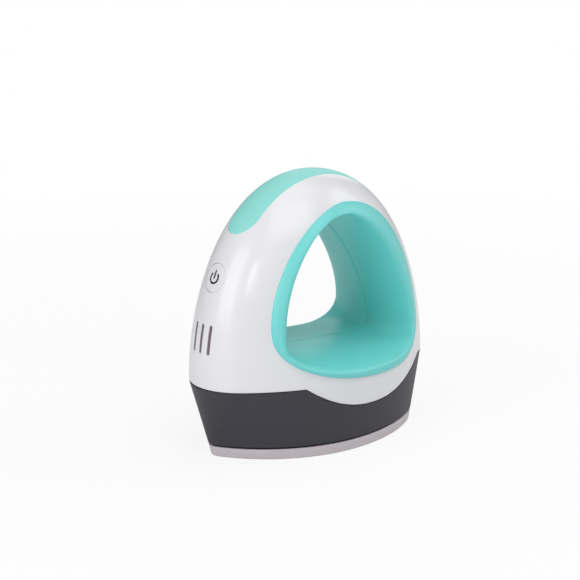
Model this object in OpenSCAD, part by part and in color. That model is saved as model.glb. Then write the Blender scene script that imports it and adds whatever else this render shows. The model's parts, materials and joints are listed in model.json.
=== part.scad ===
// Mini handheld heat press: a hollow arched body with a lined hand tunnel, on a coated heat plate.
// X runs from nose (-X) to tail (+X), Z is up, and the origin is the middle of the sole.

/* [Body] */
// Height of the press above its sole
body_h = 118.2; // [112:0.1:126]
// Height of the line where the shell meets the base at both ends
belt_z = 31.7; // [30:0.1:34]
// Half length of the body at the belt
belt_half_len = 59.4; // [57:0.1:64]
// Half width of the body at the belt
belt_half_wid = 35.7; // [34:0.1:39]
// Half length of the sole
sole_half_len = 52.4; // [51:0.1:56]
// Half width of the sole
sole_half_wid = 32; // [31:0.1:34]
// How square the arch is, seen from the side: 2 is an ellipse
arch_power = 2.05; // [1.9:0.01:2.3]
// Share of the width that the flanks lose towards the crown
flank_taper = 0.42; // [0.3:0.01:0.5]
// How late the flanks start to lean in
flank_power = 1.6; // [1.2:0.05:2.2]
// How flat the crown is, seen from the end
crown_power = 9; // [6:0.5:14]
// Roundness of both ends above the belt: 1 is an ellipse
body_round = 1.05; // [0.9:0.01:1.2]
// Roundness of the nose at the sole, which is nearly a point
sole_nose_round = 0.2; // [0.15:0.01:0.5]
// Roundness of the tail at the sole
sole_tail_round = 1.2; // [0.8:0.01:1.3]

/* [Shell and base] */
// Wall of the white shell
shell_wall = 2.4; // [2:0.1:2.8]
// Wall of the shell under the grip strip, at the crown
crown_wall = 4.2; // [3.6:0.1:5]
// Wall of the base skirt below its tongue
skirt_wall = 3.8; // [3.6:0.1:4.2]
// Thickness of the tongue that stands up behind the shell
tongue_wall = 1.2; // [1:0.1:1.4]
// Height of the tongue above the parting line
tongue_h = 2.5; // [1.5:0.1:3]
// Fine gap along the parting line
parting_gap = 0.3; // [0.2:0.05:0.5]
// Lowest point of the parting line, in the middle of each flank
swoop_z = 19.8; // [19:0.1:23]
// Middle of the swoop along X
swoop_x = 9.5; // [6:0.1:12]
// Half length of the swoop
swoop_half_len = 36; // [32:0.1:38]
// How flat the bottom of the swoop is
swoop_power = 2.2; // [1.8:0.05:3]
// Thickness of the deck inside the base
deck_t = 2.4; // [2:0.1:3]

/* [Hand tunnel] */
// Height of the top of the lip
rim_top_z = 106.5; // [104:0.1:108]
// Height of the bottom of the lip
rim_bottom_z = 32.6; // [32.2:0.1:34]
// Height at which the lip is widest
rim_wide_z = 56; // [52:0.1:60]
// Nose side of the lip
rim_nose_x = -39; // [-41:0.1:-37]
// Tail side of the lip
rim_tail_x = 45; // [42:0.1:46]
// Where the lip is highest, along X
rim_top_x = 2.5; // [0:0.1:5]
// Where the lip is lowest, along X
rim_bottom_x = 17; // [12:0.1:20]
// Height of the top of the waist, the narrowest outline of the tunnel
waist_top_z = 99.8; // [96:0.1:101]
// Height of the bottom of the waist
waist_bottom_z = 42.1; // [42:0.1:44]
// Height at which the waist is widest
waist_wide_z = 46.5; // [46:0.1:56]
// Nose side of the waist
waist_nose_x = -26; // [-28:0.1:-24]
// Tail side of the waist
waist_tail_x = 34.7; // [31:0.1:35]
// Where the waist is highest, along X
waist_top_x = -1; // [-2:0.1:4]
// Where the waist is lowest, along X
waist_bottom_x = 20; // [12:0.1:22]
// How far the lip reaches over the shell round its hole
lip_cover = 1.9; // [1.5:0.1:2.4]
// How far the lip stands out from the shell
lip_proud = 2; // [1.2:0.1:2.6]
// Wall of the liner
liner_wall = 2; // [1.6:0.1:2.4]
// Length of the tongue between the two liner halves
liner_tongue = 2.5; // [2:0.1:4]
// Clearance between the liner and the shell
liner_fit = 0.25; // [0.15:0.05:0.35]

/* [Grip strip] */
// Half width of the strip
grip_half_wid = 8.2; // [7:0.1:10]
// Half length of the strip
grip_half_len = 41; // [36:0.1:43]
// Thickness of the strip
grip_t = 1.6; // [1.2:0.1:2]
// Clearance round the strip
grip_fit = 0.15; // [0.1:0.05:0.3]
// Diameter of the strip's pegs
peg_d = 3; // [2.5:0.1:3.5]
// Length of the pegs below the strip
peg_len = 4; // [3:0.1:5]
// Distance between the pegs
peg_pitch = 24; // [18:0.5:28]

/* [Power button] */
// Height of the button's centre on the nose
button_z = 78; // [76:0.1:80]
// Tilt of the button's axis above the horizontal
button_tilt = 21; // [18:0.5:24]
// Diameter of the button
button_d = 12.6; // [11:0.1:13.4]
// Clearance round the button
button_fit = 0.3; // [0.2:0.05:0.4]
// How deep the button's face lies in the shell
button_sink = 0.15; // [0.1:0.05:0.4]
// Travel of the button
button_travel = 0.6; // [0.4:0.05:0.8]
// Depth of the guide sleeve behind the shell
sleeve_depth = 6; // [5.5:0.1:7]
// Wall of the guide sleeve
sleeve_wall = 2; // [1.6:0.1:2.4]
// Thickness of the button's flange
flange_t = 1.2; // [1:0.1:1.6]
// Outer diameter of the power mark
mark_d = 5.6; // [5:0.1:7]
// Width of the power mark's lines
mark_line = 0.75; // [0.5:0.05:1]
// Depth of the power mark in the button
mark_depth = 0.4; // [0.3:0.05:0.6]

/* [Light bars] */
// Height of the middle of the bars
bar_z = 53; // [52:0.1:55]
// Length of a bar
bar_len = 12.4; // [10:0.1:14]
// Width of a bar
bar_w = 1.5; // [1.2:0.1:2]
// Distance between the bars
bar_pitch = 4.75; // [4:0.05:5.5]
// Number of bars
bar_n = 3; // [1:2:3]
// Clearance round a bar
bar_fit = 0.1; // [0.05:0.05:0.2]
// Thickness of the bridge that joins the bars
bridge_t = 1.5; // [1.2:0.1:2]
// Diameter of the light pipes behind the bars
pipe_d = 2.4; // [2:0.1:3]

/* [Heat plate] */
// Thickness of the plate at its edge
plate_t = 4.8; // [4.6:0.1:5.6]
// Thickness of the seal between plate and base
seal_t = 0.8; // [0.6:0.1:1.2]
// How far the seal lies in from the plate's edge
seal_inset = 0.9; // [0.6:0.1:1.4]
// Height of the pillars on the plate
pillar_h = 7.4; // [7.2:0.1:8]
// Diameter of the pillars
pillar_d = 9; // [8:0.1:9.6]
// Diameter of the posts under the clamp
clamp_post_d = 8; // [7:0.1:9]
// Distance of one post from the centre of the element's bend
clamp_post_bend = 6; // [4:0.1:7]
// Distance of the other post from the end of the heated legs
clamp_post_end = 8; // [6:0.1:9]
// Distance of the end pillars from the sole's ends
pillar_end = 10.4; // [10:0.1:12]
// Distance of the side pillars from the sole's sides
pillar_side = 8.5; // [8.3:0.1:9.5]
// Where the side pillars stand, along X
pillar_side_x = 4; // [2:0.1:6]
// Thickness of the heat breaking washers
washer_t = 1.8; // [1.5:0.1:2.2]
// Diameter of the heating element
element_d = 6; // [5.4:0.1:6.2]
// Half distance between the element's legs
element_r = 15; // [13:0.1:15]
// Distance from the sole's nose to the centre of the element's bend
element_nose = 38.4; // [37.4:0.1:40]
// Distance from the sole's tail to the end of the heated legs
element_tail = 26.4; // [25.4:0.1:30]
// Depth of the element's groove below the plate's upper face
groove_depth = 1.4; // [1:0.1:1.8]
// Clearance at each side of the element
groove_fit = 0.1; // [0.05:0.05:0.2]
// Wall of the ribs beside the groove
rib_wall = 1.6; // [1.2:0.1:2]
// Height of the ribs
rib_h = 3.6; // [2.5:0.1:4]
// Thickness of the clamp plate
clamp_t = 1.2; // [1:0.1:1.4]
// Thickness of the insulation blanket
blanket_t = 1.7; // [1.5:0.1:1.8]
// Thickness of the heat shield
shield_t = 0.6; // [0.5:0.05:0.8]
// Length of the ceramic collars on the element's ends
collar_len = 5; // [4:0.1:6]
// Diameter of the element's end pins
pin_d = 2.2; // [2:0.1:2.6]
// Length of the element's end pins
pin_len = 5; // [4:0.1:5]
// Diameter of the thermal fuse
fuse_d = 4; // [3.4:0.1:4.2]
// Length of the thermal fuse
fuse_len = 11; // [9:0.1:12]
// Distance from the sole's tail to the thermal fuse
fuse_tail = 19.9; // [19.4:0.1:20.4]
// Diameter of the thermal fuse's wires
wire_d = 1; // [0.8:0.1:1.2]
// Length of the wires at each end of the fuse
wire_len = 2; // [1:0.1:2.5]
// Metal of the fuse clip
clip_t = 0.6; // [0.5:0.05:0.8]
// Distance of the clip's screw from the fuse's side
clip_screw_out = 3.4; // [3.2:0.1:3.6]
// Length of the clip's foot beyond its screw
clip_foot = 2.6; // [2.2:0.1:2.8]
// Width of the fuse clip
clip_w = 6; // [5:0.1:7]
// Distance from the sole's nose to the thermistor
sensor_nose = 29.9; // [29.4:0.1:30.4]
// Diameter of the thermistor's lug and of its post
sensor_post_d = 7; // [6.6:0.1:7.4]
// Thickness of the thermistor's lug
lug_t = 0.8; // [0.6:0.1:1]
// Diameter of the thermistor's bead
bead_d = 2; // [1.6:0.1:2.2]

/* [Screws] */
// Shank diameter of the base and shell screws
screw_d = 3; // [2.8:0.1:3.2]
// Head diameter of the base and shell screws
head_d = 5.6; // [5:0.1:6]
// Head height of the base and shell screws
head_h = 2; // [1.6:0.1:2.2]
// Length of thread that a screw takes in its boss
grip_len = 6; // [5:0.1:6.5]
// Shank diameter of the board screws
small_d = 2; // [1.8:0.1:2.2]
// Head diameter of the board screws
small_head_d = 3.8; // [3.4:0.1:4]
// Head height of the board screws
small_head_h = 1.4; // [1.2:0.1:1.6]
// Length of thread that a board screw takes
small_grip = 4; // [3:0.1:4.5]
// Length of thread that a screw takes in a post of the heat plate
post_grip = 4; // [3:0.1:4.5]
// Clearance round a screw's shank
screw_fit = 0.3; // [0.2:0.05:0.4]
// Diameter of the shell's screw bosses
boss_d = 7.2; // [6.6:0.1:7.6]
// Height of the shell's screw bosses above the deck
boss_h = 21; // [20:0.1:22]
// Distance of the nose bosses from the sole's nose
boss_nose = 18.4; // [18:0.1:20]
// Half distance between the nose bosses
boss_nose_y = 15; // [14:0.1:15.5]
// Distance of the tail bosses from the sole's tail
boss_tail = 9.6; // [9.2:0.1:10]
// Half distance between the tail bosses
boss_tail_y = 11.5; // [10.5:0.1:12]

/* [Control board] */
// Thickness of both boards
board_t = 1.6; // [1.2:0.1:1.8]
// Half length of the control board
board_half_len = 28; // [27.5:0.1:29]
// Half width of the control board
board_half_wid = 20; // [19.5:0.1:20.5]
// Height of the control board above the deck
standoff_h = 5; // [4.5:0.1:6]
// Diameter of the standoffs
standoff_d = 5; // [4.6:0.1:5.4]
// Distance of the board's screws from its edges
screw_inset = 5; // [4.5:0.1:5.5]
// Clearance of the board round the shell's screw bosses
boss_gap = 1; // [0.6:0.1:1.5]
// Length of the power relay
relay_len = 19; // [18:0.1:20]
// Width of the power relay
relay_wid = 15; // [13:0.1:16]
// Height of the power relay
relay_h = 14.5; // [12:0.1:15]
// Length of the film capacitor
film_len = 18; // [15:0.1:19]
// Width of the film capacitor
film_wid = 8.5; // [7:0.1:9]
// Height of the film capacitor
film_h = 14; // [11:0.1:14.5]
// Diameter of the electrolytic capacitor
can_d = 10; // [8:0.1:10.5]
// Height of the electrolytic capacitor
can_h = 14; // [11:0.1:14.5]
// Side of the controller chip
chip_side = 10; // [7:0.1:10.5]
// Height of the controller chip
chip_h = 1.6; // [1.2:0.1:2]
// Number of the chip's leads on each side
chip_legs = 8; // [6:1:10]
// Diameter of the buzzer
buzzer_d = 9; // [8.5:0.1:9.2]
// Height of the buzzer
buzzer_h = 5; // [4:0.1:6]
// Length of the mains terminal block, across the board
block_len = 22; // [20:0.1:23]
// Depth of the mains terminal block
block_wid = 9; // [8:0.1:9.5]
// Height of the mains terminal block
block_h = 11; // [10:0.1:12]
// Number of poles in the terminal block
block_poles = 3; // [2:1:3]
// Height of the terminal block's wire entries above the board
block_entry = 4; // [3:0.1:5]

/* [Button board] */
// Depth of the board's front below the button's face
panel_depth = 14.1; // [13.6:0.1:14.6]
// Half width of the board
panel_half_wid = 11; // [10.5:0.1:11.5]
// Length of the board above the button
panel_up = 17; // [15:0.1:17.5]
// Length of the board below the button
panel_down = 29; // [26:0.1:29.5]
// Side of the tact switch
switch_side = 6.2; // [5.8:0.1:6.4]
// Height of the tact switch's housing
switch_h = 3.5; // [3.2:0.1:3.8]
// Diameter of the switch's plunger
plunger_d = 3.2; // [2.8:0.1:3.4]
// Height of the plunger above its housing
plunger_h = 1.4; // [1:0.1:1.6]
// Depth of the plunger in its housing
plunger_in = 1; // [0.8:0.1:1.2]
// Diameter of the posts that carry the board
post_d = 4.6; // [4.2:0.1:5]

/* [Leads and cord inlet] */
// Diameter of the mains leads
lead_d = 2.4; // [2:0.1:2.6]
// Length of lead beyond the terminal block's centre, along X
lead_in = 1.5; // [1:0.1:2]
// Length of the last straight run into the terminal block
lead_turn = 6; // [5:0.1:7]
// Distance from the sole's tail to where the mains leads rise through the deck
lead_tail = 13.9; // [13.5:0.1:14.2]
// Diameter of the sensor lead
sensor_lead_d = 2; // [1.6:0.1:2.2]
// Thickness of the panel ribbon
ribbon_t = 1.2; // [1:0.1:1.4]
// Width of the panel ribbon
ribbon_w = 8; // [6:0.1:9]
// Length of the ribbon's end that lies on the button board
ribbon_end = 6; // [4:0.1:8]
// Distance of the ribbon's end from the lower edge of the button board
panel_edge = 3; // [2:0.1:5]
// Height of the cord inlet
inlet_z = 46; // [44:0.1:48]
// Bore of the cord inlet
inlet_bore = 7; // [6:0.1:7.5]
// Outer diameter of the gland in the shell
gland_d = 11; // [10:0.1:11.5]
// Diameter of the gland's flange
gland_flange_d = 14.5; // [13:0.1:15]
// Thickness of the gland's flange
gland_flange_t = 2.8; // [2.4:0.1:3.2]
// Length of the gland inside the shell
gland_in = 8; // [6:0.1:8.5]
// Clearance round the gland
gland_fit = 0.15; // [0.1:0.05:0.25]

/* [Hidden] */
$fn = 48;
slack = 0.3; // running gap kept between parts that only pass each other
bite = 0.5; // how far joined shapes run into each other
arch_steps = 20; // rings from the belt to the crown
grip_steps = 10; // rings from the strip's ends to the crown
rim_steps = 56; // points round the tunnel
// Place of the lip's crest from waist to rim: tail, top, nose, bottom
crest_share = [0.34, 0.27, 0.72, 0.77];
rim_power = [2, 1.75, 2.3, 2.5]; // squareness of the rim: top tail, top nose, bottom nose, bottom tail
waist_power = [1.52, 2.2, 1.8, 3.6]; // the same for the waist's quarters

// Heights of the stack, from the plate up to the boards
skirt_z = plate_t + seal_t;
groove_z = plate_t - groove_depth;
element_z = groove_z + element_d / 2;
clamp_z = groove_z + element_d;
blanket_z = clamp_z + clamp_t;
shield_z = blanket_z + blanket_t;
pillar_z = plate_t + pillar_h;
deck_z = pillar_z + washer_t;
deck_top = deck_z + deck_t;
board_z = deck_top + standoff_h;
board_top = board_z + board_t;
tongue_inset = skirt_wall - tongue_wall;

pillars = [[-sole_half_len + pillar_end, 0], [sole_half_len - pillar_end, 0],
  [pillar_side_x, sole_half_wid - pillar_side], [pillar_side_x, -sole_half_wid + pillar_side]];
bosses = [for (y = [-1, 1]) each [[-sole_half_len + boss_nose, y * boss_nose_y],
  [sole_half_len - boss_tail, y * boss_tail_y]]];
element_bend_x = element_nose - sole_half_len;
element_end_x = sole_half_len - element_tail;
fuse_x = sole_half_len - fuse_tail;
sensor_x = sensor_nose - sole_half_len;
clamp_posts = [[element_bend_x + clamp_post_bend, 0], [element_end_x - clamp_post_end, 0]];
board_screws = [for (x = [-1, 1], y = [-1, 1])
  [x * (board_half_len - screw_inset), y * (board_half_wid - screw_inset)]];
panel_screws = [[13, 0], [-12, panel_half_wid - 2.4], [-12, -panel_half_wid + 2.4]];
pin_x = element_end_x + collar_len;
lead_x = sole_half_len - lead_tail;
relay_at = [8, 10.5];
film_at = [7, -12];
can_at = [-9, -13];
chip_at = [-11, 9];
buzzer_at = [-17.5, -3.4];
block_at = [board_half_len - block_wid / 2 - 1, 0];
connector_len = 7;
connector_wid = 5;
connector_h = 6;
panel_plug_at = [-board_half_len + connector_wid / 2 + 0.5, -6.5];
sensor_plug_at = [-board_half_len + connector_wid / 2 + 0.5, 6.5];

// ---- Curves of the body ----

function mix(a, b, t) = a + (b - a) * t;
function backwards(v) = [for (i = [len(v) - 1 : -1 : 0]) v[i]];
function lift(outline, z) = [for (p = outline) [p[0], p[1], z]];
function rise(z) = max(0, (z - belt_z) / (body_h - belt_z));

function half_len(z) = z < belt_z ? mix(sole_half_len, belt_half_len, z / belt_z)
  : belt_half_len * pow(1 - pow(rise(z), arch_power), 1 / arch_power);

function half_wid(z) = z < belt_z ? mix(sole_half_wid, belt_half_wid, z / belt_z)
  : belt_half_wid * (1 - flank_taper * pow(rise(z), flank_power)) * sqrt(1 - pow(rise(z), crown_power));

function roundness(z, nose) = mix(nose ? sole_nose_round : sole_tail_round, body_round, min(1, z / belt_z));

// Each level is an oval of two arcs: a tip arc at the end and a long arc along the flank
function tip_r(z, nose) = let (a = half_len(z), b = half_wid(z))
  min(roundness(z, nose) * b * b / a, 0.95 * a, 0.95 * b);
function flank_r(z, nose) = let (a = half_len(z), b = half_wid(z), r = tip_r(z, nose))
  (pow(a - r, 2) + b * b - r * r) / (2 * (b - r));
function join_angle(z, nose) = atan2(flank_r(z, nose) - half_wid(z), half_len(z) - tip_r(z, nose));

function quarter(z, nose, inset, tip_n = 5, flank_n = 7) = let (a = half_len(z), b = half_wid(z),
    r = tip_r(z, nose), s = flank_r(z, nose), m = join_angle(z, nose), d = min(inset, 0.7 * r))
  concat([for (i = [0 : tip_n - 1]) let (t = m * i / tip_n)
      [a - r + (r - d) * cos(t), (r - d) * sin(t)]],
    [for (i = [0 : flank_n - 1]) let (t = mix(m, 90, i / flank_n))
      [(s - d) * cos(t), b - s + (s - d) * sin(t)]],
    [[0, b - d]]);

function ring(z, inset = 0) = let (tail = quarter(z, false, inset), nose = quarter(z, true, inset),
    n = len(tail) - 1)
  concat(tail, [for (i = [n - 1 : -1 : 0]) [-nose[i][0], nose[i][1]]],
    [for (i = [1 : n]) [-nose[i][0], -nose[i][1]]],
    [for (i = [n - 1 : -1 : 1]) [tail[i][0], -tail[i][1]]]);

// The body's outline read back: end distance at a y, and flank distance at an x
function end_x(y, z, nose) = let (r = tip_r(z, nose), s = flank_r(z, nose), b = half_wid(z))
  abs(y) <= r * sin(join_angle(z, nose)) ? half_len(z) - r + sqrt(r * r - y * y)
    : sqrt(s * s - pow(abs(y) + s - b, 2));
function side_y(x, z) = let (nose = x < 0, r = tip_r(z, nose), s = flank_r(z, nose), a = half_len(z),
    m = join_angle(z, nose))
  abs(x) <= a - r + r * cos(m) ? half_wid(z) - s + sqrt(s * s - x * x)
    : sqrt(max(0, r * r - pow(abs(x) - a + r, 2)));
function crown_z(x) = belt_z
  + (body_h - belt_z) * pow(1 - pow(abs(x) / belt_half_len, arch_power), 1 / arch_power);

// Levels of the body from a height up, closer together near the crown
function levels(from_z, steps) = let (start = asin(rise(from_z)))
  concat(from_z < belt_z ? [from_z, (from_z + belt_z) / 2] : [],
    [for (i = [0 : steps - 1]) belt_z + (body_h - belt_z) * sin(mix(start, 90, i / steps))]);
function sunk(z, drop) = z < belt_z ? z : belt_z + (z - belt_z) * (1 - drop / (body_h - belt_z));

// ---- Curves of the tunnel ----

function arc_power(v, power) = sign(v) * pow(abs(v), 2 / power);

// An egg of four quarters; t is the angle from +X, in degrees, and size holds the egg's
// [tail x, top z, nose x, bottom z, height of its widest level, x of its top, x of its bottom]
function egg(t, size, power) = let (c = cos(t), s = sin(t), up = s >= 0, tail = c >= 0,
    p = power[up ? (tail ? 0 : 1) : (tail ? 3 : 2)],
    mid = up ? size[5] : size[6])
  [mid + (tail ? size[0] - mid : mid - size[2]) * arc_power(c, p),
    size[4] + (up ? size[1] - size[4] : size[4] - size[3]) * arc_power(s, p)];
rim_size = [rim_tail_x, rim_top_z, rim_nose_x, rim_bottom_z, rim_wide_z, rim_top_x, rim_bottom_x];
waist_size = [waist_tail_x, waist_top_z, waist_nose_x, waist_bottom_z,
  waist_wide_z, waist_top_x, waist_bottom_x];
function rim(t) = egg(t, rim_size, rim_power);
function waist(t) = egg(t, waist_size, waist_power);
function rim_angles() = [for (i = [0 : rim_steps - 1]) i * 360 / rim_steps];
function rim_depth(t) = norm(rim(t) - waist(t));
// Share of the way from waist to rim at which the lip's crest lies, and the edge of the shell's hole
function crest_at(t) = pow(cos(t), 2) * crest_share[cos(t) >= 0 ? 0 : 2]
  + pow(sin(t), 2) * crest_share[sin(t) >= 0 ? 1 : 3];
function hole_at(t) = 1 - lip_cover / rim_depth(t);
// A point of the tunnel's side: share 0 is the waist and 1 the lip's outer edge
function rim_point(t, share) = mix(waist(t), rim(t), share);
function flank_at(t, share) = let (p = rim_point(t, share)) side_y(p[0], p[1]);

// The liner's cross-section at one angle, as [share, y] pairs; the tongue lies in the other half's groove
function liner_section(t, tongue) = let (
    lip = crest_at(t),
    crest = flank_at(t, lip) + lip_proud,
    wall = liner_wall / rim_depth(t),
    fit = liner_fit / rim_depth(t),
    seat = liner_fit / 2,
    seam = liner_fit / 4,
    edge = hole_at(t) - fit,
    half = wall / 2 + (tongue ? fit : -fit) / 2,
    end = tongue ? -liner_tongue : liner_tongue + liner_fit,
    inner = flank_at(t, edge) - shell_wall - bite)
  concat([for (a = [0 : 11.25 : 90]) [lip * (1 - cos(a)), max(seam, crest * sin(a))]],
    [for (a = [22.5 : 22.5 : 90]) let (share = mix(lip, 1, sin(a)))
      [share, flank_at(t, share) + seat + lip_proud * cos(a)]],
    [for (share = [mix(edge, 1, 0.5), edge]) [share, flank_at(t, share) + seat]],
    [[edge, inner]],
    [for (a = [45 : -11.25 : 11.25]) [lip * (1 - cos(a)) + wall, crest * sin(a)]],
    [[wall, end], [half, end], [half, seam]]);

function liner_ring(t, side, tongue) = [for (p = liner_section(t, tongue))
  let (q = rim_point(t, p[0])) [q[0], side * p[1], q[1]]];

// The parting line between shell and base, flat at both ends and swooping down along the flanks
function parting(x) = let (u = min(1, abs(x - swoop_x) / swoop_half_len))
  swoop_z + (belt_z - swoop_z) * pow(u, swoop_power);
function parting_line(shift) = [for (i = [-12 : 12]) let (x = swoop_x + i * swoop_half_len / 12)
  [x, parting(x) + shift]];

// ---- Shared shapes ----

// A surface over rings of equal length; closed joins the last ring to the first, else both are capped
module skin(rings, closed = false) {
  n = len(rings[0]);
  m = len(rings);
  rows = closed ? m : m - 1;
  sides = [for (i = [0 : rows - 1], j = [0 : n - 1]) let (
      a = i * n + j, b = i * n + (j + 1) % n, c = ((i + 1) % m) * n + j, d = ((i + 1) % m) * n + (j + 1) % n)
    each [[a, c, b], [b, c, d]]];
  caps = closed ? [] : [[for (j = [0 : n - 1]) j], [for (j = [n - 1 : -1 : 0]) (m - 1) * n + j]];
  polyhedron([for (r = rings) each r], concat(sides, caps));
}

// The dome between two insets, from a height up to the crown
module dome(from_z, outer, inner, outer_drop, inner_drop, steps = arch_steps) {
  heights = levels(from_z, steps);
  skin(concat([for (z = backwards(heights)) lift(ring(z, inner), sunk(z, inner_drop))],
    [for (z = heights) lift(ring(z, outer), sunk(z, outer_drop))],
    [lift(ring(body_h - 0.02, outer), sunk(body_h, outer_drop))]));
}

// The body's filled form between two heights
module slab(z0, z1, inset, steps = 1) {
  skin([for (i = [0 : steps]) let (z = mix(z0, z1, i / steps)) lift(ring(z, inset), z)]);
}

// A wall of the body between two heights and two insets
module band(z0, z1, outer, inner, steps = 2) {
  heights = [for (i = [0 : steps]) mix(z0, z1, i / steps)];
  skin(concat([for (z = heights) lift(ring(z, outer), z)],
    [for (z = backwards(heights)) lift(ring(z, inner), z)]), closed = true);
}

// Everything on one side of the parting line, across the whole width
module past_parting(shift, above) {
  far = belt_half_len + 10;
  edge = above ? body_h + 10 : -10;
  rotate([90, 0, 0]) linear_extrude(4 * belt_half_wid, center = true)
    polygon(concat([[-far, belt_z + shift]], parting_line(shift),
      [[far, belt_z + shift], [far, edge], [-far, edge]]));
}

module across(outline, width) {
  rotate([90, 0, 0]) linear_extrude(width, center = true) polygon(outline);
}

module rod(at, d, h) {
  translate([at[0], at[1], at[2]]) cylinder(d = d, h = h);
}

module tube(d_out, d_in, h) {
  difference() {
    cylinder(d = d_out, h = h);
    translate([0, 0, -1]) cylinder(d = d_in, h = h + 2);
  }
}

module block(at, size) {
  translate([at[0] - size[0] / 2, at[1] - size[1] / 2, at[2]]) cube(size);
}

module rounded_plate(size, r, t) {
  linear_extrude(t) union() {
    square([size[0] - 2 * r, size[1]], center = true);
    square([size[0], size[1] - 2 * r], center = true);
    for (x = [-1, 1], y = [-1, 1]) translate([x * (size[0] / 2 - r), y * (size[1] / 2 - r)]) circle(r);
  }
}

// A stadium lying along Y when flat, for strips and slots
module stadium(length, width) {
  square([width, length - width], center = true);
  for (y = [-1, 1]) translate([0, y * (length - width) / 2]) circle(d = width);
}

// A pan head screw standing on its shank: the head's seat is at height 0 and the shank runs down
module screw(shank_d, shank_len, top_d, top_h) {
  difference() {
    union() {
      translate([0, 0, -shank_len]) cylinder(d = shank_d, h = shank_len + bite);
      cylinder(d = top_d, h = top_h);
    }
    for (a = [0, 90]) rotate(a) translate([0, 0, top_h])
      cube([0.65 * top_d, 0.16 * top_d, top_h], center = true);
  }
}

// A round lead along points, with ball corners
module lead(points, d) {
  for (i = [0 : len(points) - 2]) {
    run = points[i + 1] - points[i];
    translate(points[i]) rotate([0, acos(run[2] / norm(run)), atan2(run[1], run[0])])
      cylinder(d = d, h = norm(run));
    if (i > 0) translate(points[i]) sphere(d = d);
  }
}

// Local +Z is the button's axis, pointing out of the shell, and local +X points up along the nose
module at_button(depth = 0) {
  translate([-end_x(0, button_z, true), 0, button_z]) rotate([0, button_tilt - 90, 0])
    translate([0, 0, -depth]) children();
}

// The same place in the XZ plane: a depth below the button's face and a length up along the nose
function panel_point(depth, up) =
  [depth * cos(button_tilt) + up * sin(button_tilt) - end_x(0, button_z, true),
  button_z - depth * sin(button_tilt) + up * cos(button_tilt)];

// ---- Heat plate and what it carries ----

module element_path(width, z0, z1, end_x) {
  translate([element_bend_x, 0, z0]) rotate(90) rotate_extrude(angle = 180)
    translate([element_r - width / 2, 0]) square([width, z1 - z0]);
  for (y = [-1, 1]) translate([element_bend_x, y * element_r - width / 2, z0])
    cube([end_x - element_bend_x, width, z1 - z0]);
}

bead_end = sensor_x + sensor_post_d / 2 + 2;
sensor_lead_x = bead_end + sensor_lead_d / 2 + 0.05;
fuse_screw_at = [fuse_x - fuse_d / 2 - clip_screw_out, 0];

module heat_plate() color([0.66, 0.62, 0.64]) {
  rib = element_d + 2 * (groove_fit + rib_wall);
  difference() {
    union() {
      slab(0, plate_t, 0);
      for (p = pillars) rod([p[0], p[1], plate_t - bite], pillar_d, pillar_h + bite);
      for (p = clamp_posts) rod([p[0], p[1], plate_t - bite], clamp_post_d, clamp_z - plate_t + bite);
      rod([sensor_x, 0, plate_t - bite], sensor_post_d, clamp_z - plate_t + bite);
      element_path(rib, plate_t - bite, plate_t + rib_h, pin_x - bite);
    }
    element_path(element_d + 2 * groove_fit, groove_z, plate_t + rib_h + 1, pin_x + pin_len + 2);
    for (p = pillars) rod([p[0], p[1], pillar_z - grip_len - 1], screw_d, grip_len + 2);
    for (p = clamp_posts) rod([p[0], p[1], clamp_z - post_grip - 1], screw_d, post_grip + 2);
    rod([sensor_x, 0, clamp_z - post_grip - 1], screw_d, post_grip + 2);
    rod([fuse_screw_at[0], 0, plate_t - 3.2], small_d, 4);
  }
}

module heating_element() color([0.55, 0.53, 0.5]) {
  translate([element_bend_x, 0, element_z]) rotate(90) rotate_extrude(angle = 180)
    translate([element_r, 0]) circle(d = element_d);
  for (y = [-1, 1]) translate([element_bend_x, y * element_r, element_z]) rotate([0, 90, 0])
    cylinder(d = element_d, h = element_end_x - element_bend_x);
}

module element_terminals() color([0.93, 0.92, 0.88])
  for (y = [-1, 1]) translate([element_end_x, y * element_r, element_z]) rotate([0, 90, 0]) {
    cylinder(d = element_d, h = collar_len);
    cylinder(d = pin_d, h = collar_len + pin_len);
  }

module element_clamp() color([0.72, 0.73, 0.75]) difference() {
  length = element_end_x - element_bend_x - 2;
  translate([element_bend_x + 1 + length / 2, 0, clamp_z])
    rounded_plate([length, 2 * element_r + element_d + 1], 3, clamp_t);
  for (p = clamp_posts) rod([p[0], p[1], clamp_z - 1], screw_d + screw_fit, clamp_t + 2);
}

module clamp_screws() color([0.6, 0.6, 0.62])
  for (p = clamp_posts) translate([p[0], p[1], blanket_z])
    screw(screw_d, clamp_t + post_grip, head_d, blanket_t);

// A layer over the element, between the shell screws at the nose and the leads at the tail
module stack_layer(z, t, inset) difference() {
  nose_x = -sole_half_len + boss_nose + head_d / 2 + slack;
  tail_x = lead_x - lead_d / 2 - 2 * slack;
  translate([0, 0, z]) linear_extrude(t) intersection() {
    polygon(ring(blanket_z, skirt_wall + inset));
    translate([nose_x, -sole_half_wid]) square([tail_x - nose_x, 2 * sole_half_wid]);
  }
  for (p = pillars) rod([p[0], p[1], z - 1], pillar_d + 2 * slack, t + 2);
  for (p = clamp_posts) rod([p[0], p[1], z - 1], head_d + 2 * slack, t + 2);
  rod([sensor_x, 0, z - 1], sensor_post_d + 2, t + 2);
  translate([sensor_x, -sensor_post_d / 2, z - 1])
    cube([sensor_lead_x + sensor_lead_d - sensor_x, sensor_post_d, t + 2]);
}

module insulation_blanket() color([0.9, 0.88, 0.82]) stack_layer(blanket_z, blanket_t, 1);
module heat_shield() color([0.75, 0.76, 0.78]) stack_layer(shield_z, shield_t, 0.6);

module spacer_washers() color([0.85, 0.8, 0.66])
  for (p = pillars) translate([p[0], p[1], pillar_z]) tube(pillar_d, screw_d + screw_fit, washer_t);

module plate_seal() color([0.08, 0.08, 0.09])
  band(plate_t, skirt_z, seal_inset, skirt_wall - slack, 1);

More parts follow.
